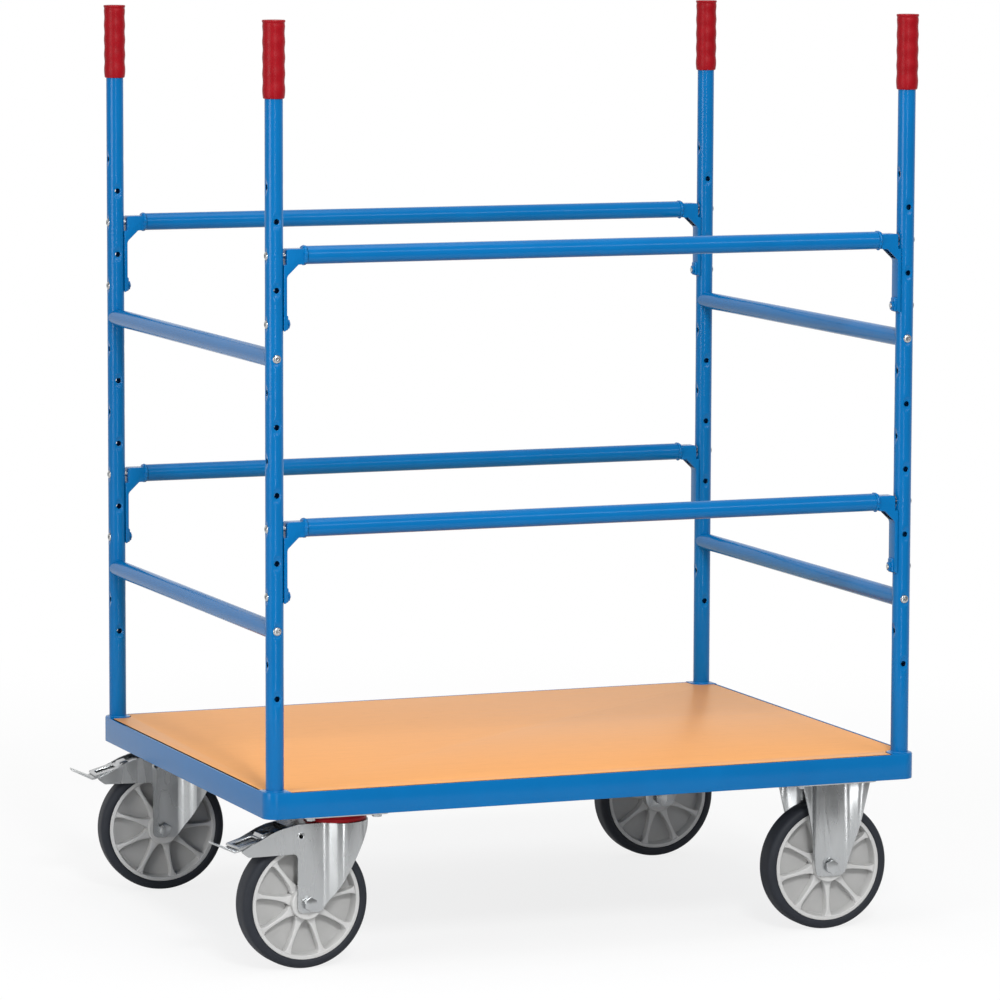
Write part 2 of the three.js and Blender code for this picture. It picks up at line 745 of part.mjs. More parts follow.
// Toe tongue: a tapered plate that lies under the pedal and turns up at its tip.
function toeTongue() {
  const drop = (pedalSheet + clearance) * Math.sqrt(1 + pedalSlope ** 2);
  const underPedal = (x) => pedalEndZ - drop + pedalSlope * (x - pedalEnd);
  const run = [
    [tongueRoot, underPedal(tongueRoot)], [tongueKnee, underPedal(tongueKnee)],
    [tongueTip, pivotZ - tongueTipDrop],
  ];
  const side = prism(sheetOutline(run, tongueSheet), 'y', -tongueRootWidth, tongueRootWidth);
  const plan = outline([
    [tongueRoot + overrun, -tongueRootWidth / 2], [tongueRoot + overrun, tongueRootWidth / 2],
    [pedalEnd, tongueRootWidth / 2], [tongueTip, tongueTipWidth / 2],
    [tongueTip, -tongueTipWidth / 2], [pedalEnd, -tongueRootWidth / 2],
  ]);
  return side.intersect(prism(plan, 'z', 0, deckTop));
}

// Axle bolt across a fork, with a hexagon head at the front and a nut at the back.
function axleBolt() {
  const seat = forkHalfWidth + clearance;
  const head = prism(hexagon(axleHeadAcross), 'y', -seat - axleHeadHeight, -seat);
  const shank = rod(axleDiameter / 2, 'y', -seat, seat + axleNutHeight + clearance, hubSides);
  const nut = prism(hexagon(axleHeadAcross), 'y', seat, seat + axleNutHeight);
  return unite([head, shank, nut]);
}

// Outline of one spoke: broad at the hub, waisted, and flared into the rim.
function spokeOutline() {
  const root = hubDiameter / 2 - spokeBite;
  const tip = rimRadius - rimLip + spokeBite;
  const reach = tip - root;
  const sideShares = [
    [0, spokeRoot], [0.3, 0.35 * spokeRoot], [0.85, spokeWaist], [1, spokeFlare],
  ];
  const near = sideShares.map(([share, half]) => [root + reach * share, -half]);
  const far = sideShares.map(([share, half]) => [root + reach * share, half]).reverse();
  return outline([...near, ...far]);
}

// Wheel centre: a moulded rim, web, hub and spokes, with a bore for the axle.
function wheelCentre(angle) {
  const rim = rimWidth / 2;
  const web = webThickness / 2;
  const pocketRadius = rimRadius - rimLip;
  const parts = [rod(hubDiameter / 2, 'y', -hubLength / 2, hubLength / 2, pocketSides)];
  for (let i = 0; i < spokeCount; i += 1) {
    const spoke = prism(spokeOutline(), 'y', -spokeWidth / 2, spokeWidth / 2);
    parts.push(spoke.rotate([0, i * 360 / spokeCount, 0]));
  }
  const pockets = rod(pocketRadius, 'y', web, rim + overrun, pocketSides)
    .add(rod(pocketRadius, 'y', -rim - overrun, -web, pocketSides));
  return rod(rimRadius - clearance, 'y', -rim, rim, wheelSides)
    .subtract(pockets.rotate([0, -angle, 0]))
    .add(unite(parts).rotate([0, -angle, 0]))
    .subtract(rod(axleBore / 2, 'y', -hubLength, hubLength, hubSides));
}

// Tyre: elastic rubber with rounded shoulders. The profile runs through shares of the tyre's
// width and of its wall.
function tyre() {
  const half = wheelWidth / 2;
  const crownShares = [
    [-0.95, 0], [-1, 0.35], [-0.85, 0.8], [-0.5, 1], [0.5, 1], [0.85, 0.8], [1, 0.35], [0.95, 0],
  ];
  const profile = crownShares.map(([across, rise]) => [rimRadius + tyreWall * rise, half * across]);
  profile.push(profile[0]);
  return turned(profile, 'y', wheelSides);
}

// A wheel with its spokes at their rest angle.
function addWheel(group, name, x) {
  const place = [x, 0, axleHeight];
  addPiece(`wheel_centre_${name}`, wheelCentre(wheelAngles[name]).translate(place), 'greyPlastic', group);
  addPiece(`tyre_${name}`, tyre().translate(place), 'rubber', group);
}

function addAxleBolt(group, name, x) {
  const bolt = axleBolt().translate([x, 0, axleHeight]);
  addPiece(`axle_bolt_${name}`, bolt, 'zinc', group);
}

function addSwivelCastor(side, y) {
  const castor = new THREE.Group();
  castor.position.set(swivelX, y, 0);
  addPiece(`swivel_plate_${side}`, swivelPlate(), 'zinc', castor);
  trolley.add(castor);
  const turning = new THREE.Group();
  turning.rotation.z = THREE.MathUtils.degToRad(swivelAngles[side]);
  castor.add(turning);
  addPiece(`seal_ring_${side}`, sealRing(), 'redPlastic', turning);
  addPiece(`swivel_fork_${side}`, swivelFork(), 'zinc', turning);
  addPiece(`brake_pedal_${side}`, brakePedal(), 'zinc', turning);
  addPiece(`toe_tongue_${side}`, toeTongue(), 'zinc', turning);
  addAxleBolt(turning, `swivel_${side}`, -trail);
  addWheel(turning, `swivel_${side}`, -trail);
}

// Fork of a fixed castor: two hat-section legs, tapered towards the axle, pressed with the plate.
function fixedFork() {
  const leg = [
    [-fixedFlangeEnd, -fixedFlangeOffset], [-fixedWallEnd, -fixedFlangeOffset],
    [-fixedLegHalf, -forkHalfWidth], [fixedLegHalf, -forkHalfWidth],
    [fixedWallEnd, -fixedFlangeOffset], [fixedFlangeEnd, -fixedFlangeOffset],
  ];
  const foot = axleHeight - fixedFoot;
  const side = new THREE.Shape();
  side.moveTo(-fixedLegHalf + fixedFootRadius, foot);
  side.lineTo(fixedLegHalf - fixedFootRadius, foot);
  side.absarc(fixedLegHalf - fixedFootRadius, foot + fixedFootRadius, fixedFootRadius,
    -Math.PI / 2, 0);
  side.lineTo(fixedFlangeEnd, plateBottom + overrun);
  side.lineTo(-fixedFlangeEnd, plateBottom + overrun);
  side.lineTo(-fixedLegHalf, foot + fixedFootRadius);
  side.absarc(-fixedLegHalf + fixedFootRadius, foot + fixedFootRadius, fixedFootRadius,
    Math.PI, 3 * Math.PI / 2);
  const reach = fixedFlangeOffset + overrun;
  const legs = prism(sheetOutline(leg, forkSheet), 'z', foot - overrun, plateBottom + clearance)
    .intersect(prism(side, 'y', -reach, reach));
  const fork = unite([castorPlate(), legs, legs.rotate([0, 0, 180])]);
  return fork.subtract(rod(axleBore / 2, 'y', -reach, reach, hubSides).translate([0, 0, axleHeight]));
}

function addFixedCastor(side, y) {
  const castor = new THREE.Group();
  castor.position.set(fixedX, y, 0);
  trolley.add(castor);
  addPiece(`fixed_fork_${side}`, fixedFork(), 'zinc', castor);
  addAxleBolt(castor, `fixed_${side}`, 0);
  addWheel(castor, `fixed_${side}`, 0);
}

// Deck
addPiece('deck_frame', deckFrame(), 'blueSteel');
addPiece('deck_board', deckBoard(), 'beechBoard');
addPiece('castor_channel_left', castorChannel().translate([swivelX, 0, 0]), 'blueSteel');
addPiece('castor_channel_right', castorChannel().translate([fixedX, 0, 0]), 'blueSteel');

// Posts and grips
for (const corner of corners) {
  const place = [corner.x * postX, corner.y * postY, 0];
  addPiece(`post_${corner.name}`, post().translate(place), 'blueSteel');
  addPiece(`grip_${corner.name}`, grip().translate(place), 'redPlastic');
}

// Two levels of rails. A guard rail is held at the two side holes that lie half a pitch and one
// and a half pitches above the hole of its cross rail.
const levels = ['lower', 'upper'];
levels.forEach((level, i) => {
  const crossHeight = frontHoleHeights[crossRailHoles[i]];
  const guardHeight = sideHoleHeights[crossRailHoles[i] + 1];
  for (const end of [{ name: 'left', x: -1 }, { name: 'right', x: 1 }]) {
    const rail = crossRail(crossHeight).translate([end.x * postX, 0, 0]);
    addPiece(`cross_rail_${level}_${end.name}`, rail, 'blueSteel');
  }
  for (const side of [{ name: 'front', y: -1 }, { name: 'back', y: 1 }]) {
    const rail = guardRail().translate([0, side.y * postY, guardHeight]);
    addPiece(`guard_rail_${level}_${side.name}`, rail, 'blueSteel');
  }
  for (const corner of corners) {
    const x = corner.x * postX;
    const y = corner.y * postY;
    const bracket = railBracket().rotate([0, 0, corner.x < 0 ? 0 : 180]);
    addPiece(`rail_bracket_${level}_${corner.name}`, bracket.translate([x, y, guardHeight]), 'blueSteel');
    const screw = crossRailScrew().rotate([0, 0, -corner.y * 90]);
    addPiece(`rail_screw_${level}_${corner.name}`, screw.translate([x, y, crossHeight]), 'zinc');
  }
});

// Castors
for (const side of [{ name: 'front', y: -1 }, { name: 'back', y: 1 }]) {
  addSwivelCastor(side.name, side.y * castorY);
  addFixedCastor(side.name, side.y * castorY);
}

// The toe tongues reach past the deck, so the trolley is moved until its box is centred on z.
trolley.updateMatrixWorld(true);
const box = new THREE.Box3().setFromObject(trolley, true);
trolley.position.x = -(box.min.x + box.max.x) / 2;

export default trolley;
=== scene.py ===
import math

import bmesh
import bpy
from mathutils import Matrix, Vector


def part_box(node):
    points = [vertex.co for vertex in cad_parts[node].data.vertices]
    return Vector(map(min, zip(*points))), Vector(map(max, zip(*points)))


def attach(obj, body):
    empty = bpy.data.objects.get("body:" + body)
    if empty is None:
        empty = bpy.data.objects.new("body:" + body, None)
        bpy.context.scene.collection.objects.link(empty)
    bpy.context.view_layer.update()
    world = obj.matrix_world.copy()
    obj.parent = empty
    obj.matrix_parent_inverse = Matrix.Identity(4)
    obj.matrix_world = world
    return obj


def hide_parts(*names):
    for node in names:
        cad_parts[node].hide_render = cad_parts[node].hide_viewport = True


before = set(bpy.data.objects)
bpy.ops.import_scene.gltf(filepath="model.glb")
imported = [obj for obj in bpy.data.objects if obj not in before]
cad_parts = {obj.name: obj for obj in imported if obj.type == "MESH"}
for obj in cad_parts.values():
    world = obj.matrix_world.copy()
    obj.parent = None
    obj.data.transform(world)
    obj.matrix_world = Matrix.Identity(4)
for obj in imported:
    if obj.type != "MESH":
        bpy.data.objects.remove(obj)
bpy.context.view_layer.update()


# Camera: stands to the front left of the trolley, a little above the grips, and looks slightly
# down through a long lens, so that the posts stay almost upright in the picture.
CAMERA_PLACE = (-3.1349, -7.9710, 1.6600)
CAMERA_TURN = -21.661
CAMERA_PITCH = 6.762
CAMERA_ROLL = 0.188
CAMERA_LENS = 199.54
camera = bpy.data.objects.new("camera", bpy.data.cameras.new("camera"))
bpy.context.scene.collection.objects.link(camera)
bpy.context.scene.camera = camera
camera.data.sensor_width = 36
camera.data.lens = CAMERA_LENS
camera.data.clip_end = 80
camera.matrix_world = (
    Matrix.Translation(CAMERA_PLACE)
    @ Matrix.Rotation(math.radians(CAMERA_TURN), 4, "Z")
    @ Matrix.Rotation(math.radians(90 - CAMERA_PITCH), 4, "X")
    @ Matrix.Rotation(math.radians(CAMERA_ROLL), 4, "Z")
)
bpy.context.scene.view_settings.view_transform = "Standard"


# Studio: a paper floor that fades into a white background, a dim even sky, and five softboxes: the
# key, a tall strip under it, a wide bar to the front right, a fill to the left and one overhead.
# The room is dark in front and at the sides, so that what shines there keeps its colour.
def linear(code):
    """The linear colour of an sRGB hex code."""
    shares = [int(code[i:i + 2], 16) / 255 for i in (1, 3, 5)]
    return [s / 12.92 if s <= 0.04045 else ((s + 0.055) / 1.055) ** 2.4 for s in shares] + [1.0]


def add_node(tree, kind, inputs=None, **settings):
    """Adds a node, with its settings, and its inputs set to values or linked to sockets."""
    node = tree.nodes.new(kind)
    for name, value in settings.items():
        setattr(node, name, value)
    for name, value in (inputs or {}).items():
        if isinstance(value, bpy.types.NodeSocket):
            tree.links.new(value, node.inputs[name])
        else:
            node.inputs[name].default_value = value
    return node


FLOOR_HALF = 15

# The paper ends in front of the trolley, because the strip softbox reaches below its level.
FLOOR_FRONT = -1.9
BEHIND = (0.3, 0.94, 0.1)
AIM_HEIGHT = 0.6
floor_mesh = bmesh.new()
bmesh.ops.create_grid(floor_mesh, x_segments=1, y_segments=1, size=FLOOR_HALF,
                      matrix=Matrix.Translation((0, FLOOR_HALF + FLOOR_FRONT, 0)))
floor = bpy.data.objects.new("studio_floor", bpy.data.meshes.new("studio_floor"))
floor_mesh.to_mesh(floor.data)
floor_mesh.free()
bpy.context.scene.collection.objects.link(floor)


def background(tree, direction):
    """The camera ray, the share of rays that show the background, and how white they find it.
    For glossy rays it is white behind the trolley and darker in the other directions."""
    rays = add_node(tree, "ShaderNodeLightPath")
    shiny = add_node(tree, "ShaderNodeMath", {
        0: rays.outputs["Is Camera Ray"], 1: rays.outputs["Is Glossy Ray"],
    }, operation="MAXIMUM")
    direct = add_node(tree, "ShaderNodeMath", {
        0: shiny.outputs[0], 1: rays.outputs["Is Transmission Ray"],
    }, operation="MAXIMUM")
    backward = add_node(tree, "ShaderNodeVectorMath", {0: direction, 1: BEHIND},
                        operation="DOT_PRODUCT")
    room = add_node(tree, "ShaderNodeMapRange", {
        "Value": backward.outputs["Value"], "From Min": -0.1, "From Max": 0.65, "To Min": 0.3,
        "To Max": 1.0,
    })
    plain = add_node(tree, "ShaderNodeMath", {
        0: room.outputs["Result"], 1: rays.outputs["Is Camera Ray"],
    }, operation="MAXIMUM")
    return rays.outputs["Is Camera Ray"], direct.outputs[0], plain.outputs[0]


paper = bpy.data.materials.new("studio_paper")
paper.use_nodes = True
tree = paper.node_tree
tree.nodes.clear()
spot = add_node(tree, "ShaderNodeTexCoord").outputs["Object"]
away = add_node(tree, "ShaderNodeVectorMath", {0: spot}, operation="NORMALIZE")
camera_ray, direct, plain = background(tree, away.outputs["Vector"])
near = add_node(tree, "ShaderNodeMapRange", {"Value": camera_ray, "To Min": 0.2, "To Max": 0.82})
reach = add_node(tree, "ShaderNodeVectorMath", {0: spot}, operation="LENGTH")
fade = add_node(tree, "ShaderNodeMapRange", {
    "Value": reach.outputs["Value"], "From Min": 0.8, "From Max": 2.8,
    "To Min": near.outputs["Result"], "To Max": 1.0,
}, interpolation_type="SMOOTHSTEP")
lit = add_node(tree, "ShaderNodeMath", {0: fade.outputs["Result"], 1: plain},
               operation="MULTIPLY")
share = add_node(tree, "ShaderNodeMath", {0: lit.outputs[0], 1: direct}, operation="MULTIPLY")
glow = add_node(tree, "ShaderNodeEmission", {"Color": linear("#ffffff"), "Strength": 1.0})

# A Mix node has its share at input 0, its colours at 6 and 7, and the mixed colour at output 2.
sheet = add_node(tree, "ShaderNodeMix", {0: direct, 6: linear("#c8c8c8"), 7: linear("#fafafa")},
                 data_type="RGBA")
matt = add_node(tree, "ShaderNodeBsdfDiffuse", {"Color": sheet.outputs[2]})
seen = add_node(tree, "ShaderNodeMixShader", {
    "Fac": share.outputs[0], 1: matt.outputs[0], 2: glow.outputs[0],
})
add_node(tree, "ShaderNodeOutputMaterial", {"Surface": seen.outputs[0]})
floor.data.materials.append(paper)

world = bpy.data.worlds.new("studio_air")
bpy.context.scene.world = world
world.use_nodes = True
tree = world.node_tree
tree.nodes.clear()
direction = add_node(tree, "ShaderNodeTexCoord").outputs["Generated"]
_, direct, plain = background(tree, direction)
white = add_node(tree, "ShaderNodeBackground", {"Color": linear("#ffffff"), "Strength": plain})
height = add_node(tree, "ShaderNodeSeparateXYZ", {"Vector": direction})
level = add_node(tree, "ShaderNodeMapRange", {
    "Value": height.outputs["Z"], "From Min": 0.0, "From Max": 0.9, "To Min": 0.34, "To Max": 0.5,
})
air = add_node(tree, "ShaderNodeBackground", {
    "Color": linear("#ffffff"), "Strength": level.outputs["Result"],
})
seen = add_node(tree, "ShaderNodeMixShader", {
    "Fac": direct, 1: air.outputs[0], 2: white.outputs[0],
})
add_node(tree, "ShaderNodeOutputWorld", {"Surface": seen.outputs[0]})

for name, place, size, power in (
    ("key_softbox", (-0.8, -4.6, 3.6), (1.0, 1.0), 138),
    ("strip_softbox", (-0.9, -5.4, 0.8), (0.3, 4.2), 46),
    ("bar_softbox", (2.4, -5.0, 3.4), (3.0, 0.5), 38),
    ("fill_softbox", (-4.7, -2.0, 1.3), (2.0, 2.0), 80),
    ("top_softbox", (0.0, -0.4, 4.5), (2.5, 2.5), 42),
):
    lamp = bpy.data.lights.new(name, "AREA")
    lamp.shape = "RECTANGLE"
    lamp.size, lamp.size_y = size
    lamp.energy = power
    stand = bpy.data.objects.new(name, lamp)
    stand.location = place
    aim = Vector((0.0, 0.0, min(AIM_HEIGHT, place[2]))) - stand.location
    stand.rotation_euler = aim.to_track_quat("-Z", "Y").to_euler()
    bpy.context.scene.collection.objects.link(stand)


# Deck frame: a folded steel edge with rounded corners, a ledge inside for the board and a plate
# welded into each corner. It is powder coated in one glossy blue, with a faint orange peel.
MM = 0.001


def new_material(name):
    """A material with one Principled shader, and the sockets that its patterns start from."""
    material = bpy.data.materials.new(name)
    material.use_nodes = True
    shader = material.node_tree.nodes["Principled BSDF"]
    place = add_node(material.node_tree, "ShaderNodeTexCoord").outputs["Object"]
    return material, material.node_tree, shader, place


def shade(material, shader, base, rough, metal=0.0, bump=None, mirror=0.5):
    """Joins colour, roughness, metalness, bump and the level of the mirror part to the shader."""
    shader.inputs["Specular IOR Level"].default_value = mirror
    for name, value in (("Base Color", base), ("Roughness", rough)):
        if isinstance(value, bpy.types.NodeSocket):
            material.node_tree.links.new(value, shader.inputs[name])
        else:
            shader.inputs[name].default_value = value
    shader.inputs["Metallic"].default_value = metal
    if bump:
        material.node_tree.links.new(bump.outputs["Normal"], shader.inputs["Normal"])


# Powder coat: polyester powder fused in an oven. It is even in colour and mirrors sharply, but
# through an orange peel, and it is a little duller in wide clouds.
CLOUD_WIDTH = 71.4 * MM
PEEL_WIDTH = 2.08 * MM
blue_coat, tree, shader, place = new_material("blue_powder_coat")
cloud = add_node(tree, "ShaderNodeTexNoise", {
    "Vector": place, "Scale": 1 / CLOUD_WIDTH, "Detail": 3.0,
})
tone = add_node(tree, "ShaderNodeMix", {
    0: cloud.outputs[0], 6: linear("#0063a1"), 7: linear("#006cad"),
}, data_type="RGBA")
gloss = add_node(tree, "ShaderNodeMapRange", {
    "Value": cloud.outputs[0], "To Min": 0.14, "To Max": 0.24,
})
peel = add_node(tree, "ShaderNodeTexNoise", {
    "Vector": place, "Scale": 1 / PEEL_WIDTH, "Detail": 1.0,
})
skin = add_node(tree, "ShaderNodeBump", {
    "Height": peel.outputs[0], "Strength": 0.12, "Distance": 0.3 * MM,
})
shade(blue_coat, shader, tone.outputs[2], gloss.outputs[0], bump=skin, mirror=0.19)


def finished(bm, *modifiers):
    """The mesh of a bmesh after modifiers, each a type with its settings. A bmesh given as a
    setting is the other operand of a Boolean."""
    made = []

    def stand_in(source):
        source.normal_update()
        mesh = bpy.data.meshes.new("work")
        source.to_mesh(mesh)
        thing = bpy.data.objects.new("work", mesh)
        bpy.context.scene.collection.objects.link(thing)
        made.append(thing)
        return thing

    thing = stand_in(bm)
    for kind, settings in modifiers:
        modifier = thing.modifiers.new(kind, kind)
        for name, value in settings.items():
            if isinstance(value, bmesh.types.BMesh):
                value = stand_in(value)
                value.hide_render = True
            setattr(modifier, name, value)
    bpy.context.view_layer.update()
    result = bpy.data.meshes.new_from_object(
        thing.evaluated_get(bpy.context.evaluated_depsgraph_get())
    )
    for thing in made:
        mesh = thing.data
        bpy.data.objects.remove(thing)
        bpy.data.meshes.remove(mesh)
    return result


def softened(width, segments, angle):
    """A Bevel modifier for the edges that are sharper than an angle in degrees, width in mm."""
    return ("BEVEL", {"width": width * MM, "segments": segments, "limit_method": "ANGLE",
                      "angle_limit": math.radians(angle)})


def carved(shape, operation="DIFFERENCE"):
    """A Boolean modifier that takes a shape away, or with INTERSECT keeps what is inside it."""
    return ("BOOLEAN", {"object": shape, "operation": operation})


def joined(*parts):
    """One bmesh of several meshes and bmeshes."""
    whole = bmesh.new()
    for part in parts:
        if isinstance(part, bmesh.types.BMesh):
            mesh = bpy.data.meshes.new("work")
            part.to_mesh(mesh)
            whole.from_mesh(mesh)
            bpy.data.meshes.remove(mesh)
        else:
            whole.from_mesh(part)
    return whole


def place_piece(name, source, material, body, replaced=(), move=None, sharp=35):
    """Puts a shape in the scene as a piece that rides on a body."""
    mesh = bpy.data.meshes.new(name)
    if isinstance(source, bmesh.types.BMesh):
        source.to_mesh(mesh)
    else:
        copy = bmesh.new()
        copy.from_mesh(source)
        copy.to_mesh(mesh)
        copy.free()
    if move is not None:
        mesh.transform(move)
    mesh.materials.clear()
    mesh.materials.append(material)
    mesh.shade_smooth()
    mesh.set_sharp_from_angle(angle=math.radians(sharp))
    piece = bpy.data.objects.new(name, mesh)
    bpy.context.scene.collection.objects.link(piece)
    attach(piece, body)
    if replaced:
        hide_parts(*replaced)
    return piece


def boxed(low, high):
    """A block between two corners."""
    bm = bmesh.new()
    low, high = Vector(low), Vector(high)
    bmesh.ops.create_cube(bm, size=1, matrix=Matrix.Translation((low + high) / 2)
                          @ Matrix.Diagonal(((high - low).x, (high - low).y, (high - low).z, 1)))
    return bm


def bevel_edges(bm, offset, segments, chosen):
    """Rounds the edges for which chosen says yes."""
    edges = [e for e in bm.edges if chosen(e)]
    bmesh.ops.bevel(bm, geom=edges, offset=offset, segments=segments, profile=0.5,
                    affect="EDGES", material=-1, clamp_overlap=True)
    return bm


def upright(edge):
    """Says whether an edge runs along Z."""
    run = edge.verts[1].co - edge.verts[0].co
    return abs(run.z) > 0.99 * run.length


deck_low, deck_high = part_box("deck_frame")
deck_middle = (deck_low.x + deck_high.x) / 2
FRAME_WALL = 3 * MM
FRAME_CORNER = 20 * MM
RIM_DROP = 0.2 * MM
LEDGE = 20 * MM
LEDGE_PLAY = 0.3 * MM
PLATE = 38.5 * MM
PLATE_INSET = 1 * MM
PLATE_SHEET = 3 * MM
PLATE_ROUND = 18 * MM
PLATE_EDGE = 0.6 * MM
FINE = 0.1 * MM
board_low, board_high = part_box("deck_board")
ledge_top = board_low.z - LEDGE_PLAY

rim = boxed(deck_low, (deck_high.x, deck_high.y, board_high.z - RIM_DROP))
bevel_edges(rim, FRAME_CORNER, 10, upright)
bmesh.ops.delete(rim, geom=[f for f in rim.faces if abs(f.normal.z) > 0.9], context="FACES")
rim = finished(rim, ("SOLIDIFY", {"thickness": FRAME_WALL, "offset": -1.0}),
               softened(0.9, 3, 60))
ledge = boxed((deck_low.x + FRAME_WALL / 2, deck_low.y + FRAME_WALL / 2, ledge_top - FRAME_WALL),
              (deck_high.x - FRAME_WALL / 2, deck_high.y - FRAME_WALL / 2, ledge_top))
bevel_edges(ledge, FRAME_CORNER, 4, upright)
inside = boxed((deck_low.x + LEDGE, deck_low.y + LEDGE, ledge_top - LEDGE),
               (deck_high.x - LEDGE, deck_high.y - LEDGE, ledge_top + LEDGE))
ledge = finished(ledge, carved(inside))
parts = [rim, ledge]
for side_x in (-1, 1):
    for side_y in (-1, 1):
        corner_x = deck_middle + side_x * ((deck_high.x - deck_low.x) / 2 - PLATE_INSET)
        corner_y = side_y * (deck_high.y - PLATE_INSET)
        across = sorted((corner_x, corner_x - side_x * PLATE))
        along = sorted((corner_y, corner_y - side_y * PLATE))
        plate = boxed((across[0], along[0], deck_high.z - PLATE_SHEET),
                      (across[1], along[1], deck_high.z - FINE / 2))
        middle = Vector((sum(across) / 2, sum(along) / 2, 0))
        bevel_edges(plate, PLATE_ROUND, 10, lambda e: upright(e) and (
            (e.verts[0].co - middle).x * side_x * (e.verts[0].co - middle).y * side_y > 0))
        bevel_edges(plate, PLATE_EDGE, 2,
                    lambda e: all(v.co.z > deck_high.z - FINE for v in e.verts))
        parts.append(plate)
place_piece("deck_frame_coated", joined(*parts), blue_coat, "trolley", ["deck_frame"])


# Castor channels: folded steel members under the board that the castor plates are bolted to,
# welded to the edge frame and coated with it. They keep the mesh of the solids.
for name in ("castor_channel_left", "castor_channel_right"):
    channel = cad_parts[name].data
    channel.materials.clear()
    channel.materials.append(blue_coat)


# Board: a resin-faced panel with a light beech decor, its grain running along the trolley. The
# sealed face is satin, with fine dark pores and only faint streaks. Its cut edges and the backing
# sheet under it are painted dark brown, as painted shade of the gap round the board and of the
# space under it.
def moved(bm, x=0.0, y=0.0, z=0.0):
    """Shifts a bmesh and hands it back."""
    bmesh.ops.translate(bm, verts=bm.verts, vec=(x, y, z))
    return bm


# Beech decor: printed paper, pressed under clear resin. It looks satin, with long faint streaks and
# fine pores, which are wider here than real ones, so that they show.
STREAK_LENGTH = 208 * MM
STREAK_WIDTH = 11.4 * MM
PORE_LENGTH = 38.5 * MM
PORE_WIDTH = 1.11 * MM
beech, tree, shader, place = new_material("beech_decor")
along = add_node(tree, "ShaderNodeMapping", {
    "Vector": place, "Scale": (1 / STREAK_LENGTH, 1 / STREAK_WIDTH, 1 / STREAK_WIDTH),
})
streaks = add_node(tree, "ShaderNodeTexNoise", {
    "Vector": along.outputs[0], "Scale": 1.0, "Detail": 5.0, "Roughness": 0.62, "Distortion": 0.3,
})
fine = add_node(tree, "ShaderNodeMapping", {
    "Vector": place, "Scale": (1 / PORE_LENGTH, 1 / PORE_WIDTH, 1 / PORE_WIDTH),
})
pores = add_node(tree, "ShaderNodeTexNoise", {
    "Vector": fine.outputs[0], "Scale": 1.0, "Detail": 2.0,
})
pore_share = add_node(tree, "ShaderNodeMapRange", {
    "Value": pores.outputs[0], "From Min": 0.56, "From Max": 0.72, "To Min": 0.0, "To Max": 0.35,
})
ground = add_node(tree, "ShaderNodeMix", {
    0: streaks.outputs[0], 6: linear("#eda45e"), 7: linear("#f6b06c"),
}, data_type="RGBA")
pored = add_node(tree, "ShaderNodeMix", {
    0: pore_share.outputs[0], 6: ground.outputs[2], 7: linear("#d08c50"),
}, data_type="RGBA")
pore_bump = add_node(tree, "ShaderNodeBump", {
    "Height": pores.outputs[0], "Strength": 0.08, "Distance": 0.1 * MM,
})
satin = add_node(tree, "ShaderNodeMapRange", {
    "Value": streaks.outputs[0], "To Min": 0.3, "To Max": 0.42,
})
# Painted shade: every face that does not look up, the cut edges and the underside, is painted dark
# brown.
facing = add_node(tree, "ShaderNodeNewGeometry")
upward = add_node(tree, "ShaderNodeSeparateXYZ", {"Vector": facing.outputs["Normal"]})
unshaded_top_share = add_node(tree, "ShaderNodeMapRange", {
    "Value": upward.outputs["Z"], "From Min": 0.3, "From Max": 0.8,
})
painted_side_shade = add_node(tree, "ShaderNodeMix", {
    0: unshaded_top_share.outputs[0], 6: linear("#2a2520"), 7: pored.outputs[2],
}, data_type="RGBA")
shade(beech, shader, painted_side_shade.outputs[2], satin.outputs[0], bump=pore_bump, mirror=0.06)
NOTCH = 37 * MM
NOTCH_DEPTH = 30 * MM
BOARD_GAP = Vector((2.5 * MM, 2.5 * MM, 0))
panel = boxed(board_low + BOARD_GAP, board_high - BOARD_GAP)
notches = []
for side_x in (-1, 1):
    for side_y in (-1, 1):
        notch = boxed((-NOTCH, -NOTCH, -NOTCH_DEPTH), (NOTCH, NOTCH, NOTCH_DEPTH))
        bevel_edges(notch, PLATE_ROUND, 10, upright)
        corner_x = board_high.x if side_x > 0 else board_low.x
        notches.append(moved(notch, corner_x, side_y * board_high.y, board_high.z))
panel_mesh = finished(panel, carved(joined(*notches)), softened(0.4, 2, 60))
place_piece("board_panel", panel_mesh, beech, "trolley", ["deck_board"])


# Posts: round steel tubes set through the corner plates and welded in, with bolt holes drilled
# through them in turn from the front and from the side. The drilling has pressed a shallow dimple
# round each hole. Same blue coat as the frame.
TUBE = 26.9 * MM / 2
TUBE_BORE = TUBE - 3 * MM
HOLE = 4.3 * MM
HOLE_PITCH = 100 * MM
FIRST_HOLE = 138 * MM
HOLE_COUNT = 8


def turned(bm, axis):
    """Turns a bmesh that was made along Z, so that it lies along an axis."""
    if axis == "X":
        bmesh.ops.rotate(bm, verts=bm.verts, matrix=Matrix.Rotation(math.pi / 2, 3, "Y"))
    if axis == "Y":
        bmesh.ops.rotate(bm, verts=bm.verts, matrix=Matrix.Rotation(-math.pi / 2, 3, "X"))
    return bm


def spun(profile, steps, axis="Z", closed=False):
    """Turns a profile of radius and place pairs about an axis through the origin."""
    bm = bmesh.new()
    verts = [bm.verts.new((radius, 0, place)) for radius, place in profile]
    edges = [bm.edges.new(pair) for pair in zip(verts, verts[1:])]
    if closed:
        edges.append(bm.edges.new((verts[-1], verts[0])))
    bmesh.ops.spin(bm, geom=verts + edges, cent=(0, 0, 0), axis=(0, 0, 1), dvec=(0, 0, 0),
                   angle=2 * math.pi, steps=steps, use_merge=True, use_duplicate=False)
    bmesh.ops.remove_doubles(bm, verts=bm.verts, dist=0.002 * MM)
    bmesh.ops.recalc_face_normals(bm, faces=bm.faces)
    return turned(bm, axis)


def round_bar(radius, reach, steps, axis="Z"):
    """A round bar along an axis, reaching as far to both sides of the origin."""
    return spun([(0, -reach), (radius, -reach), (radius, reach), (0, reach)], steps, axis)


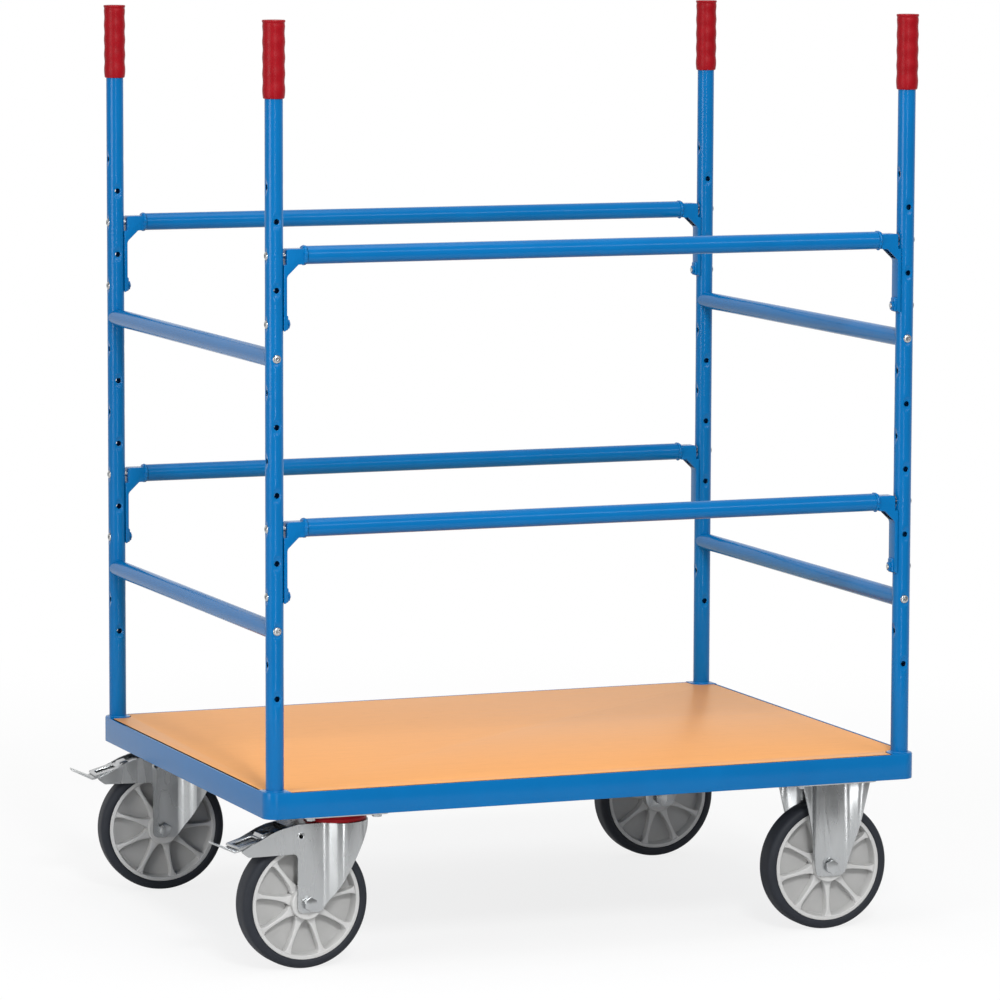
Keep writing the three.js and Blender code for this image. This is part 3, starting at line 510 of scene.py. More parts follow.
def at_post(side_x, side_y, height=0.0):
    """The move to a post's axis at a height, or with a side of 0 to the middle between posts."""
    return Matrix.Translation((deck_middle + side_x * post_x, side_y * post_y, height))


post_low, post_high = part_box("post_front_left")
POST_INSET = 20 * MM
post_x = (deck_high.x - deck_low.x) / 2 - POST_INSET
post_y = deck_high.y - POST_INSET
DRILL_REACH = 30 * MM
DISH_REACH = 12 * MM
DISH_DEPTH = 2.3 * MM
DISH_RINGS = 8
DISH_MARGIN = 1.15
RING_STEP = 15 * MM
CUT_OVER = 5 * MM
WELD_OUTLINE = ((0, 1.4), (0.9, 0.6), (1.6, -0.1), (0, -0.1))
dish = []
for i in range(DISH_RINGS + 1):
    radius = DISH_MARGIN * DISH_REACH * i / DISH_RINGS
    dish.append((radius, TUBE - DISH_DEPTH * (1 - (radius / DISH_REACH) ** 2)))
dish += [(radius, TUBE + CUT_OVER), (0, TUBE + CUT_OVER)]
drills = []
rings = []
for i in range(2 * HOLE_COUNT):
    height = deck_high.z + FIRST_HOLE + i * HOLE_PITCH / 2
    axis = "X" if i % 2 else "Y"
    drills.append(moved(round_bar(HOLE, DRILL_REACH, 20, axis), z=height))
    rings += [height - RING_STEP, height + RING_STEP]
    for side in (-1, 1):
        outline = [(radius, side * place) for radius, place in dish]
        drills.append(moved(spun(outline, 40, axis), z=height))
post_tube = spun([(TUBE_BORE, post_low.z), (TUBE, post_low.z)] + [(TUBE, z) for z in rings]
                 + [(TUBE, post_high.z), (TUBE_BORE, post_high.z)], 64, closed=True)
post_mesh = finished(
    post_tube,
    ("BOOLEAN", {"object": joined(*drills), "operation": "DIFFERENCE", "use_self": True}),
    softened(0.6, 2, 45),
)
weld_bead = spun([(TUBE + out * MM, deck_high.z + up * MM) for out, up in WELD_OUTLINE], 48,
                 closed=True)
post_shape = joined(post_mesh, weld_bead)
corners = (("front_left", -1, -1), ("back_left", -1, 1),
           ("front_right", 1, -1), ("back_right", 1, 1))
for corner, side_x, side_y in corners:
    place_piece(f"post_tube_{corner}", post_shape, blue_coat, "trolley",
                [f"post_{corner}"], at_post(side_x, side_y))


# Grips: soft red vinyl sleeves pulled over the post tops, moulded with finger rolls that are
# fuller towards one side, and closed by a thin flanged cap. The skin is satin and slightly grainy.
GRIP_ROLLS = ((0, 31.0), (1.5, 31.9), (6, 33.2), (13.5, 34.4), (20, 32.6), (25, 31.4), (30, 32.8),
              (36, 34.4), (42.5, 32.8), (48, 31.6), (53.5, 33.0), (59.5, 34.4), (66, 32.8),
              (71.5, 31.6), (77, 33.0), (82.5, 34.4), (89, 32.7), (95, 31.6), (100, 32.8),
              (104.3, 33.8), (107.5, 33.0), (109.6, 32.2), (110.4, 33.2), (111, 34.2),
              (112.6, 34.4), (113.6, 33.6), (114, 31.0), (114, 0.0))
GRIP_LENGTH = 114 * MM
GRIP_CORE = 15.4 * MM
GRIP_CAP = 6 * MM
GRIP_PLAY = 0.2 * MM
FLAT_SIDE_SHARE = 0.82
FLAT_SIDE_TURN = 1.2

# Soft vinyl: moulded, deep in colour and satin, duller where hands have smeared it. Its grain is
# coarser than the real one, so that it shows.
GRAIN_WIDTH = 1.43 * MM
SMEAR_WIDTH = 16.7 * MM
red_vinyl, tree, shader, place = new_material("red_soft_vinyl")
grain = add_node(tree, "ShaderNodeTexNoise", {
    "Vector": place, "Scale": 1 / GRAIN_WIDTH, "Detail": 2.0,
})
smear = add_node(tree, "ShaderNodeTexNoise", {
    "Vector": place, "Scale": 1 / SMEAR_WIDTH, "Detail": 2.0,
})
tone = add_node(tree, "ShaderNodeMix", {
    0: smear.outputs[0], 6: linear("#850410"), 7: linear("#9d0918"),
}, data_type="RGBA")
satin = add_node(tree, "ShaderNodeMapRange", {
    "Value": smear.outputs[0], "To Min": 0.3, "To Max": 0.5,
})
skin = add_node(tree, "ShaderNodeBump", {
    "Height": grain.outputs[0], "Strength": 0.2, "Distance": 0.15 * MM,
})
shade(red_vinyl, shader, tone.outputs[2], satin.outputs[0], bump=skin, mirror=0.16)
grip_low, grip_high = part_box("grip_front_left")
grip_scale = (grip_high.z - grip_low.z) / GRIP_LENGTH
profile = [(TUBE + GRIP_PLAY, grip_low.z)]
profile += [(width / 2 * MM, grip_low.z + rise * MM * grip_scale) for rise, width in GRIP_ROLLS]
grip_mesh = spun(profile, 48)
for vert in grip_mesh.verts:
    flat = Vector((vert.co.x, vert.co.y, 0))
    if vert.co.z < grip_high.z - GRIP_CAP and flat.length > TUBE + 0.5 * MM:
        turn = math.atan2(flat.y, flat.x)
        fullness = 0.5 + 0.5 * math.cos(turn + FLAT_SIDE_TURN)
        share = FLAT_SIDE_SHARE + (1 - FLAT_SIDE_SHARE) * fullness
        radius = GRIP_CORE + (flat.length - GRIP_CORE) * share
        vert.co.x, vert.co.y = flat.x / flat.length * radius, flat.y / flat.length * radius
grip_shape = finished(grip_mesh, ("SUBSURF", {"levels": 1, "render_levels": 1}))
for corner, side_x, side_y in corners:
    place_piece(f"grip_sleeve_{corner}", grip_shape, red_vinyl, "trolley",
                [f"grip_{corner}"], at_post(side_x, side_y), sharp=60)


# Cross rails: tubes from front post to back post, with their ends cut to the round of the posts
# and held by a screw from outside. They carry the load of each level.
levels = (("lower", 1), ("upper", 5))
SADDLE_PLAY = 0.3 * MM
saddles = [moved(round_bar(TUBE + SADDLE_PLAY, 2 * TUBE, 48), y=side * post_y) for side in (-1, 1)]
cross_mesh = finished(round_bar(TUBE, post_y, 48, "Y"), carved(joined(*saddles)))
for level, hole in levels:
    height = deck_high.z + FIRST_HOLE + hole * HOLE_PITCH
    for end, side_x in (("left", -1), ("right", 1)):
        place_piece(f"cross_tube_{level}_{end}", cross_mesh, blue_coat, "trolley",
                    [f"cross_rail_{level}_{end}"], at_post(side_x, 0, height))


# Guard rails: plain steel tubes along each long side, butted to the weld rings of their end
# brackets, and coated with them.
sides = (("front", -1), ("back", 1))
for level, hole in levels:
    for side, side_y in sides:
        low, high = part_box(f"guard_rail_{level}_{side}")
        tube = spun([(TUBE_BORE, low.x), (TUBE, low.x), (TUBE, high.x), (TUBE_BORE, high.x)], 48,
                    "X", closed=True)
        spot = Matrix.Translation((0, side_y * post_y, (low.z + high.z) / 2))
        place_piece(f"guard_tube_{level}_{side}", tube, blue_coat, "trolley",
                    [f"guard_rail_{level}_{side}"], spot)


# Rail brackets: sheet steel folded to a leg that hugs the post and a stub that the rail is
# welded to. Button-head bolts pass through the post, with nuts on the inside.
BRACKET_HALF = 11 * MM
HEAD_SINK = 1.6 * MM
WELD_CORE = 12 * MM
WELD_SWELL = 0.03
GUARD_LIFT = 1.5 * HOLE_PITCH
BUTTON_HEAD = ((0, 2.6), (3.0, 2.5), (5.0, 1.9), (6.0, 1.2), (6.4, 0.5), (6.4, 0))
SHANK = 4 * MM
NUT_ACROSS = 13 * MM

# Places that are closer together than this count as the same.
CLOSE = MM / 9


def in_mm(points):
    """Points of a drawing in millimetres, brought to metres."""
    return [(across * MM, up * MM) for across, up in points]


def block(low, high):
    """A block between two corners of a drawing in mm."""
    return boxed([place * MM for place in low], [place * MM for place in high])


def slab(points, plane, low, high):
    """A solid from an outline in mm in the XZ or XY plane, between two places in metres across."""
    bm = bmesh.new()
    if plane == "XZ":
        bm.faces.new([bm.verts.new((x, low, z)) for x, z in in_mm(points)])
    else:
        bm.faces.new([bm.verts.new((x, y, low)) for x, y in in_mm(points)])
    run = bmesh.ops.extrude_face_region(bm, geom=list(bm.faces))
    step = Vector((0, high - low, 0)) if plane == "XZ" else Vector((0, 0, high - low))
    lifted = [v for v in run["geom"] if isinstance(v, bmesh.types.BMVert)]
    bmesh.ops.translate(bm, verts=lifted, vec=step)
    bmesh.ops.recalc_face_normals(bm, faces=bm.faces)
    return bm


def hex_block(across, low, high, axis="X"):
    """A hexagon block along an axis, with its outer corners taken off as on a nut."""
    bm = bmesh.new()
    bmesh.ops.create_cone(bm, cap_ends=True, cap_tris=False, segments=6,
                          radius1=across / math.sqrt(3), radius2=across / math.sqrt(3),
                          depth=high - low)
    level = [e for e in bm.edges if abs(e.verts[0].co.z - e.verts[1].co.z) < CLOSE]
    bmesh.ops.bevel(bm, geom=level, offset=0.07 * across, segments=2, profile=0.5,
                    affect="EDGES", material=-1)
    return turned(moved(bm, z=(low + high) / 2), axis)


def button_bolt(end):
    """A low button-head bolt along X, its head sunk in a dimple of the post at negative X."""
    seat = TUBE - HEAD_SINK
    profile = [(radius * MM, -seat - rise * MM) for radius, rise in BUTTON_HEAD]
    profile += [(SHANK, -seat), (SHANK, end - MM / 2), (SHANK - 0.6 * MM, end), (0, end)]
    head = spun(profile, 32, "X")
    socket = hex_block(5 * MM, -seat - 6 * MM, -seat - 1 * MM)
    return finished(head, carved(socket))


leg_outline = [(16.35, 10), (43.5, 10), (43.5, -13), (34.5, -13), (16.75, -30), (16.75, -107),
               (13.75, -110), (11.5, -110), (11.5, -13), (16.35, -13)]
folded = slab(leg_outline, "XZ", -BRACKET_HALF, BRACKET_HALF)
bevel_edges(folded, 4 * MM, 5, lambda e: all(
    abs(v.co.x - 16.35 * MM) < CLOSE and v.co.z > 9 * MM for v in e.verts))
bevel_edges(folded, 3 * MM, 4, lambda e: all(
    abs(v.co.x - 16.75 * MM) < CLOSE and abs(v.co.z + 30 * MM) < CLOSE for v in e.verts))

# What is left outside the two hollows is the sheet, 3 mm thick.
stub_hollow = block((19.35, -8, -60), (40.5, 8, 7))
leg_hollow = block((0, -8, -130), (13.75, 8, 0))
folded_mesh = finished(folded, carved(stub_hollow), carved(leg_hollow), softened(0.9, 3, 35))
pad = block((15, -7.5, -109), (20.2, 7.5, -87))
bevel_edges(pad, 2.6 * MM, 4, lambda e: any(v.co.x > 20 * MM for v in e.verts))
weld_ring = spun(in_mm([(9, 41.5), (12.8, 42.6), (13.9, 43.6), (14.5, 45.0), (14.7, 46.4),
                        (14.3, 47.6), (13.6, 48.3), (9, 48.4)]), 72, "X", closed=True)
for vert in weld_ring.verts:
    turn = math.atan2(vert.co.z, vert.co.y)
    if Vector((vert.co.y, vert.co.z)).length > WELD_CORE:
        swell = 1 + WELD_SWELL * math.sin(7 * turn) + WELD_SWELL * math.sin(13 * turn + 1)
        vert.co.y, vert.co.z = vert.co.y * swell, vert.co.z * swell
bracket_shape = joined(
    folded_mesh, pad, weld_ring, hex_block(NUT_ACROSS, 19 * MM, 25.3 * MM),
    moved(hex_block(NUT_ACROSS, 20 * MM, 22.9 * MM), z=-HOLE_PITCH),
)

# Zinc plate: a thin bright coat on pressed steel, slightly cloudy. It mirrors softly, because the
# sheet has faint upright waves from drawing, and a brushing that is finer in truth than here.
DRAWN_WIDTH = 23.8 * MM
DRAWN_LENGTH = 102 * MM
BRUSH_WIDTH = 2.38 * MM
zinc, tree, shader, place = new_material("zinc_plated_steel")
drawn = add_node(tree, "ShaderNodeMapping", {
    "Vector": place, "Scale": (1 / DRAWN_WIDTH, 1 / DRAWN_WIDTH, 1 / DRAWN_LENGTH),
})
cloud = add_node(tree, "ShaderNodeTexNoise", {
    "Vector": drawn.outputs[0], "Scale": 1.0, "Detail": 2.0, "Distortion": 0.4,
})
tone = add_node(tree, "ShaderNodeMix", {
    0: cloud.outputs[0], 6: linear("#a4a6a7"), 7: linear("#bfc1c2"),
}, data_type="RGBA")
gloss = add_node(tree, "ShaderNodeMapRange", {
    "Value": cloud.outputs[0], "From Min": 0.3, "From Max": 0.7, "To Min": 0.22, "To Max": 0.32,
})
rolled = add_node(tree, "ShaderNodeTexNoise", {
    "Vector": drawn.outputs[0], "Scale": 1.14, "Detail": 1.0,
})
waves = add_node(tree, "ShaderNodeBump", {
    "Height": rolled.outputs[0], "Strength": 0.03, "Distance": 0.5 * MM,
})
brushed = add_node(tree, "ShaderNodeTexNoise", {
    "Vector": place, "Scale": 1 / BRUSH_WIDTH, "Detail": 2.0,
})
skin = add_node(tree, "ShaderNodeBump", {
    "Height": brushed.outputs[0], "Strength": 0.07, "Distance": 0.1 * MM,
    "Normal": waves.outputs["Normal"],
})
shade(zinc, shader, tone.outputs[2], gloss.outputs[0], metal=1.0, bump=skin)
bolt_pair = joined(button_bolt(26.8 * MM), moved(joined(button_bolt(24.3 * MM)), z=-HOLE_PITCH))
for level, hole in levels:
    height = deck_high.z + FIRST_HOLE + hole * HOLE_PITCH + GUARD_LIFT
    for corner, side_x, side_y in corners:
        spot = at_post(side_x, side_y, height)
        if side_x > 0:
            spot = spot @ Matrix.Rotation(math.pi, 4, "Z")
        place_piece(f"bracket_sheet_{level}_{corner}", bracket_shape, blue_coat, "trolley",
                    [f"rail_bracket_{level}_{corner}"], spot)
        place_piece(f"bracket_bolts_{level}_{corner}", bolt_pair, zinc, "trolley",
                    (), spot)


# Rail screws: one button-head screw through each post into the end of each cross rail. They are
# of zinc-plated steel, with the heads sunk in the dimples of the posts.
screw_shape = button_bolt(TUBE + 14 * MM)
for level, hole in levels:
    height = deck_high.z + FIRST_HOLE + hole * HOLE_PITCH
    for corner, side_x, side_y in corners:
        spot = at_post(side_x, side_y, height) @ Matrix.Rotation(-side_y * math.pi / 2, 4, "Z")
        place_piece(f"rail_screw_head_{level}_{corner}", screw_shape, zinc, "trolley",
                    [f"rail_screw_{level}_{corner}"], spot)


# Swivel forks: one deep-drawn sheet each, with a round back, flat legs pressed in towards the
# wheel, and a housing that reaches forward over the brake pedal. Bright zinc plate.
SWIVEL_X = deck_middle - 397 * MM
SWIVEL_Y = 331 * MM
SWIVEL_ANGLES = {"front": 3.2, "back": -6.0}
CASTOR_REACH = 60 * MM
TRAIL = 54 * MM
AXLE_RISE = 100 * MM
AXLE_HOLE = 6.3 * MM
PIN_HOLE = 5 * MM
PIN_X = -67 * MM
PIN_Z = 202 * MM

# Sizes in the drawing of the fork, in mm.
HEAD_RADIUS = 49
LEG_HALF = 30
FORK_TOP = 220
FORK_SHEET = 3
ARC_STEPS = 26


def fork_block(nose, half, crease, shoulder, radius, low, high, upright_round, top_round):
    """The space inside a line round the fork, from its nose to its round back, all in mm."""
    start = math.atan2(-shoulder[1], shoulder[0])
    path = [(nose, -half), (crease, -half)]
    for i in range(ARC_STEPS + 1):
        angle = start * (1 - 2 * i / ARC_STEPS)
        path.append((radius * math.cos(angle), radius * math.sin(angle)))
    path += [(crease, half), (nose, half)]
    bm = slab(path, "XY", low * MM, high * MM)
    bevel_edges(bm, upright_round * MM, 6, lambda e: upright(e) and min(
        abs(e.verts[0].co.x - crease * MM), abs(e.verts[0].co.x - shoulder[0] * MM)) < CLOSE)
    return bevel_edges(bm, top_round * MM, 5, lambda e: all(
        v.co.z > (high - 0.1) * MM for v in e.verts) and (
            all(v.co.x > (nose + 1) * MM for v in e.verts)
            or abs(e.verts[0].co.y - e.verts[1].co.y) < CLOSE))


fork_outside = fork_block(nose=-162, half=LEG_HALF, crease=-27, shoulder=(-12, 47.5),
                          radius=HEAD_RADIUS, low=78, high=FORK_TOP, upright_round=8, top_round=6)
fork_inside = fork_block(nose=-170, half=LEG_HALF - FORK_SHEET, crease=-25.6,
                         shoulder=(-10.3, 44.83), radius=HEAD_RADIUS - FORK_SHEET, low=60,
                         high=FORK_TOP - FORK_SHEET, upright_round=6, top_round=3)
side_view = [
    (-149, 176), (-79.5, 176), (-76.2, 175.3), (-73.7, 173.3), (-72.3, 170.6), (-72, 168),
    (-72, 95), (-71.4, 91.4), (-69.5, 88.7), (-65, 87), (-38, 87), (-33.5, 88.5), (-31, 92),
    (44, 214), (49.5, 221), (-67, 221), (-100, 214), (-115, 208.6), (-128, 202), (-161, 186),
    (-160, 183.4), (-151, 176.6),
]
side_prism = slab(side_view, "XZ", -CASTOR_REACH, CASTOR_REACH)
mouth = block((-200, -26.9, 160), (-95, 26.9, 240))
axle_hole = moved(round_bar(AXLE_HOLE, CASTOR_REACH, 20, "Y"), x=-TRAIL, z=AXLE_RISE)
pin_hole = moved(round_bar(PIN_HOLE, CASTOR_REACH, 20, "Y"), x=PIN_X, z=PIN_Z)
fork_mesh = finished(
    fork_outside,
    carved(side_prism, "INTERSECT"),
    carved(fork_inside),
    carved(mouth),
    carved(joined(axle_hole, pin_hole)),
    softened(0.6, 2, 50),
)
rivets = []
for side in (-1, 1):
    ring = spun(in_mm([(3.2, 21.5), (5, 21.5), (5, 30), (6.2, 30), (6.2, 30.5), (5.4, 31),
                       (3.7, 31), (3.2, 30.5)]), 28, "Y", closed=True)
    if side < 0:
        bmesh.ops.scale(ring, vec=(1, -1, 1), verts=ring.verts)
        bmesh.ops.reverse_faces(ring, faces=ring.faces)
    rivets.append(moved(ring, x=PIN_X, z=PIN_Z))
fork_shape = joined(fork_mesh, *rivets)
swivel_spots = {}
for side, side_y in sides:
    swivel_spots[side] = (Matrix.Translation((SWIVEL_X, side_y * SWIVEL_Y, 0))
                          @ Matrix.Rotation(math.radians(SWIVEL_ANGLES[side]), 4, "Z"))
    place_piece(f"drawn_fork_{side}", fork_shape, zinc, f"swivel_{side}",
                [f"swivel_fork_{side}"], swivel_spots[side])


# Castor plates: pressed steel with round corners, bolted up through the deck channels by four
# bolts each. Those of the swivel castors carry the ball race, the kingpin and its nut.
BOLT_X = 52.5 * MM
BOLT_Y = 38 * MM
top_plate = block((-67.5, -55, 231.2), (67.5, 55, 234.7))
bevel_edges(top_plate, 10 * MM, 5, upright)
top_plate = finished(top_plate, softened(0.8, 2, 60))
plate_bolts = []
for x in (-BOLT_X, BOLT_X):
    for y in (-BOLT_Y, BOLT_Y):
        for low, high in in_mm([(225.6, 231.4), (238.4, 244.3)]):
            plate_bolts.append(moved(hex_block(NUT_ACROSS, low, high, "Z"), x=x, y=y))
castor_top = joined(top_plate, *plate_bolts)
race = spun(in_mm([(0, 209.8), (7, 209.8), (7, 220.5), (27.5, 220.5), (30, 222.5), (30, 231.3),
                   (0, 231.3)]), 48)
swivel_top = joined(castor_top, race, hex_block(24 * MM, 209.9 * MM, 216.6 * MM, "Z"))
for side, side_y in sides:
    place_piece(f"race_plate_{side}", swivel_top, zinc, "trolley",
                [f"swivel_plate_{side}"], Matrix.Translation((SWIVEL_X, side_y * SWIVEL_Y, 0)))


# Seal rings: dark red plastic lips round the ball races, between the crown and the plate. They
# keep dirt out of the balls and turn with the fork.
seal = spun(in_mm([(30.4, 220.4), (46, 220.4), (46.9, 221.2), (47, 225.6), (46, 226.8),
                   (45.4, 228.2), (45.4, 230.8), (30.4, 230.8)]), 64, closed=True)
for side in ("front", "back"):
    place_piece(f"seal_lip_{side}", seal, red_vinyl, f"swivel_{side}",
                [f"seal_ring_{side}"], swivel_spots[side])


# Brake pedals: pressed levers with turned-down sides, a window and a raised bridge behind it.
# They hang on the two hollow rivets of the fork, and a shoe under them meets the tyre.
pedal_side = [(-67, 211), (-98, 210), (-164, 190), (-164, 187), (-98, 198), (-67, 193)]
top_run = [(-67, 211), (-98, 210), (-164, 190), (-164.9, 187.1), (-98.4, 207), (-67, 208)]
bridge_run = [(-127, 199.7), (-107, 205.8), (-111, 210.1), (-123, 206.4)]
PEDAL_HALF = 26.4 * MM
PEDAL_SHEET = 3 * MM
EAR = 9 * MM
EAR_BORE = 5.3 * MM
pedal_top = slab(top_run, "XZ", -PEDAL_HALF, PEDAL_HALF)
window = block((-159, -13, 150), (-129, 13, 230))
bevel_edges(window, 4 * MM, 5, upright)
bridge = slab(bridge_run, "XZ", -15 * MM, 15 * MM)
bevel_edges(bridge, 1.3 * MM, 3, lambda e: any(v.co.z > 206.3 * MM for v in e.verts))
pedal_parts = [bridge, finished(pedal_top, carved(window), softened(1.0, 3, 50))]
for side in (-1, 1):
    low, high = sorted((side * (PEDAL_HALF - PEDAL_SHEET), side * PEDAL_HALF))
    cheek = slab(pedal_side, "XZ", low, high)
    ear = spun([(EAR_BORE, low), (EAR, low), (EAR, high), (EAR_BORE, high)], 28, "Y", closed=True)
    bore = moved(round_bar(EAR_BORE, CASTOR_REACH, 28, "Y"), x=PIN_X, z=PIN_Z)
    pedal_parts += [finished(cheek, carved(bore)), moved(ear, x=PIN_X, z=PIN_Z)]
shoe = block((-116, -15, 194.4), (-104, 15, 204.8))
bevel_edges(shoe, 1.5 * MM, 3, lambda e: True)
pedal_parts.append(shoe)
for side in ("front", "back"):
    place_piece(f"pressed_pedal_{side}", joined(*pedal_parts), zinc, f"brake_{side}",
                [f"brake_pedal_{side}"], swivel_spots[side])


# Toe tongues: tapered flat plates under the pedals, turned up at the tip, that free the brake.
# Each is pressed from sheet, zinc plated, and carried by its pedal.
TONGUE_HALF = 22
tongue_run = [(-124, 198.7), (-168, 185.3), (-199, 199.5), (-200.2, 196.8), (-168.2, 182.1),
              (-123.1, 195.8)]
tongue_side = slab(tongue_run, "XZ", -TONGUE_HALF * MM, TONGUE_HALF * MM)
tongue_plan = slab([(-119, -TONGUE_HALF), (-119, TONGUE_HALF), (-164, TONGUE_HALF), (-199, 8),
                    (-199, -8), (-164, -TONGUE_HALF)], "XY", 150 * MM, 230 * MM)
tongue_mesh = finished(tongue_side, carved(tongue_plan, "INTERSECT"), softened(0.7, 2, 40))
for side in ("front", "back"):
    place_piece(f"toe_plate_{side}", tongue_mesh, zinc, f"release_{side}",
                [f"toe_tongue_{side}"], swivel_spots[side])


# Fixed forks: two hat-section legs pressed from thick sheet and tapered towards the axle, on a
# plate that is bolted under the channel. Bright zinc plate.
FIXED_X = deck_middle + 402 * MM
FIXED_SHEET = 3 * MM
LEG_FOOT = 83 * MM
LEG_RISE = 148.4 * MM
hat = [(-56, -50), (-42, -50), (-25.5, -30), (25.5, -30), (42, -50), (56, -50)]
leg_sheet = bmesh.new()
verts = [leg_sheet.verts.new((x, y, LEG_FOOT)) for x, y in in_mm(hat)]
edges = [leg_sheet.edges.new(pair) for pair in zip(verts, verts[1:])]
lift = bmesh.ops.extrude_edge_only(leg_sheet, edges=edges)
lifted = [v for v in lift["geom"] if isinstance(v, bmesh.types.BMVert)]
bmesh.ops.translate(leg_sheet, verts=lifted, vec=(0, 0, LEG_RISE))
bmesh.ops.recalc_face_normals(leg_sheet, faces=leg_sheet.faces)
if sum(f.normal.y * f.calc_area() for f in leg_sheet.faces) > 0:
    bmesh.ops.reverse_faces(leg_sheet, faces=leg_sheet.faces)
bevel_edges(leg_sheet, 7 * MM, 6, lambda e: upright(e) and len(e.link_faces) == 2)
leg_view = [(-14.5, 85), (14.5, 85), (20, 86.5), (24, 90.5), (25.5, 96), (56, 231.4), (-56, 231.4),
            (-25.5, 96), (-24, 90.5), (-20, 86.5)]
leg_prism = slab(leg_view, "XZ", -CASTOR_REACH, CASTOR_REACH)
axle_hole = moved(round_bar(AXLE_HOLE, CASTOR_REACH, 20, "Y"), z=AXLE_RISE)
leg_mesh = finished(
    leg_sheet,
    ("SOLIDIFY", {"thickness": FIXED_SHEET, "offset": -1.0}),
    carved(leg_prism, "INTERSECT"),
    carved(axle_hole),
    softened(0.6, 2, 50),
)
back_leg = joined(leg_mesh)
bmesh.ops.rotate(back_leg, verts=back_leg.verts, matrix=Matrix.Rotation(math.pi, 3, "Z"))
fixed_shape = joined(leg_mesh, back_leg, castor_top)
fixed_spots = {}
for side, side_y in sides:
    fixed_spots[side] = Matrix.Translation((FIXED_X, side_y * SWIVEL_Y, 0))
    place_piece(f"pressed_fork_{side}", fixed_shape, zinc, "trolley",
                [f"fixed_fork_{side}"], fixed_spots[side])


# Axle bolts: hexagon-head bolts through the fork and the wheel, with a lock nut on the far side.
# They are of zinc-plated steel and stand still while the wheel turns.
AXLE_SEAT = 30.3 * MM
AXLE_ACROSS = 19 * MM
AXLE_RADIUS = 6 * MM
AXLE_HEAD = 7.4 * MM
AXLE_NUT = 8.9 * MM
AXLE_DOME = 0.3 * MM
axle_shape = joined(
    hex_block(AXLE_ACROSS, -AXLE_SEAT - AXLE_HEAD, -AXLE_SEAT, "Y"),
    hex_block(AXLE_ACROSS, AXLE_SEAT, AXLE_SEAT + AXLE_NUT, "Y"),
    spun([(0, -AXLE_SEAT), (AXLE_RADIUS, -AXLE_SEAT),
          (AXLE_RADIUS, AXLE_SEAT + AXLE_NUT - AXLE_DOME),
          (0, AXLE_SEAT + AXLE_NUT + AXLE_DOME)], 24, "Y"),
)
axle_spots = {}
for side in ("front", "back"):
    axle_spots[f"swivel_{side}"] = swivel_spots[side] @ Matrix.Translation((-TRAIL, 0, AXLE_RISE))
    axle_spots[f"fixed_{side}"] = fixed_spots[side] @ Matrix.Translation((0, 0, AXLE_RISE))
for name, spot in axle_spots.items():
    body = name if name.startswith("swivel") else "trolley"
    place_piece(f"axle_hex_{name}", axle_shape, zinc, body,
                [f"axle_bolt_{name}"], spot)


# Tyres: elastic rubber moulded round the wheel centres, with a rounded shoulder and a satin,
# slightly dusty side. The dark blue-grey is typical of rubber. Its grain is coarser than the real
# one, so that it shows.
DUST_WIDTH = 22.2 * MM
RUBBER_GRAIN = 1.11 * MM
rubber, tree, shader, place = new_material("elastic_rubber")
dust = add_node(tree, "ShaderNodeTexNoise", {
    "Vector": place, "Scale": 1 / DUST_WIDTH, "Detail": 4.0,
})
tone = add_node(tree, "ShaderNodeMix", {
    0: dust.outputs[0], 6: linear("#1f2228"), 7: linear("#2c2f36"),
}, data_type="RGBA")
matt = add_node(tree, "ShaderNodeMapRange", {
    "Value": dust.outputs[0], "To Min": 0.5, "To Max": 0.68,
})
grain = add_node(tree, "ShaderNodeTexNoise", {
    "Vector": place, "Scale": 1 / RUBBER_GRAIN, "Detail": 2.0,
})
skin = add_node(tree, "ShaderNodeBump", {
    "Height": grain.outputs[0], "Strength": 0.25, "Distance": 0.15 * MM,
})
shade(rubber, shader, tone.outputs[2], matt.outputs[0], bump=skin, mirror=0.25)


def mirrored(half):
    """A closed profile, made of the mirror image of a half and that half run back."""
    return [(radius, -width) for radius, width in half] + half[::-1]


half_tyre = [(86.0, 18.6), (86.9, 19.4), (88.2, 19.6), (89, 19.9), (90.5, 20), (93.2, 19.8),
             (95.6, 19.0), (97.6, 17.5), (99, 15.2), (99.7, 12.4), (100, 8), (100, 3)]
tyre_shape = spun(in_mm(mirrored(half_tyre)), 120, "Y", closed=True)


# Wheel centres: moulded grey polyamide, each with a rim lip, a thin web, and nine spokes that
# spread like trumpets into the hub and the rim. The web is painted darker than the crests, as
# painted shade in the recess.
SPOKES = 9
SPOKE_HALF = 16.8 * MM
WEB_HALF = 3.5 * MM
CREST_RISE = 13 * MM
WHEEL_TURNS = {"swivel_front": 71, "swivel_back": 78, "fixed_front": 87.5, "fixed_back": 65}

# Polyamide: moulded, satin and slightly hazy. Its grain is coarser than the real one.
HAZE_WIDTH = 28.6 * MM
MOULD_GRAIN = 0.91 * MM
grey_nylon, tree, shader, place = new_material("grey_polyamide")
haze = add_node(tree, "ShaderNodeTexNoise", {
    "Vector": place, "Scale": 1 / HAZE_WIDTH, "Detail": 3.0,
})
# Painted shade: the web is darker and the crests lighter, by how far each point stands out from the
# web.
crest_light_share = add_node(tree, "ShaderNodeAttribute", attribute_name="crest_light")
shaded_web_tone = add_node(tree, "ShaderNodeMix", {
    0: haze.outputs[0], 6: linear("#a8a8a7"), 7: linear("#b5b5b4"),
}, data_type="RGBA")
tone = add_node(tree, "ShaderNodeMix", {
    0: crest_light_share.outputs["Fac"], 6: shaded_web_tone.outputs[2], 7: linear("#c5c5c4"),
}, data_type="RGBA")
satin = add_node(tree, "ShaderNodeMapRange", {
    "Value": haze.outputs[0], "To Min": 0.38, "To Max": 0.52,
})
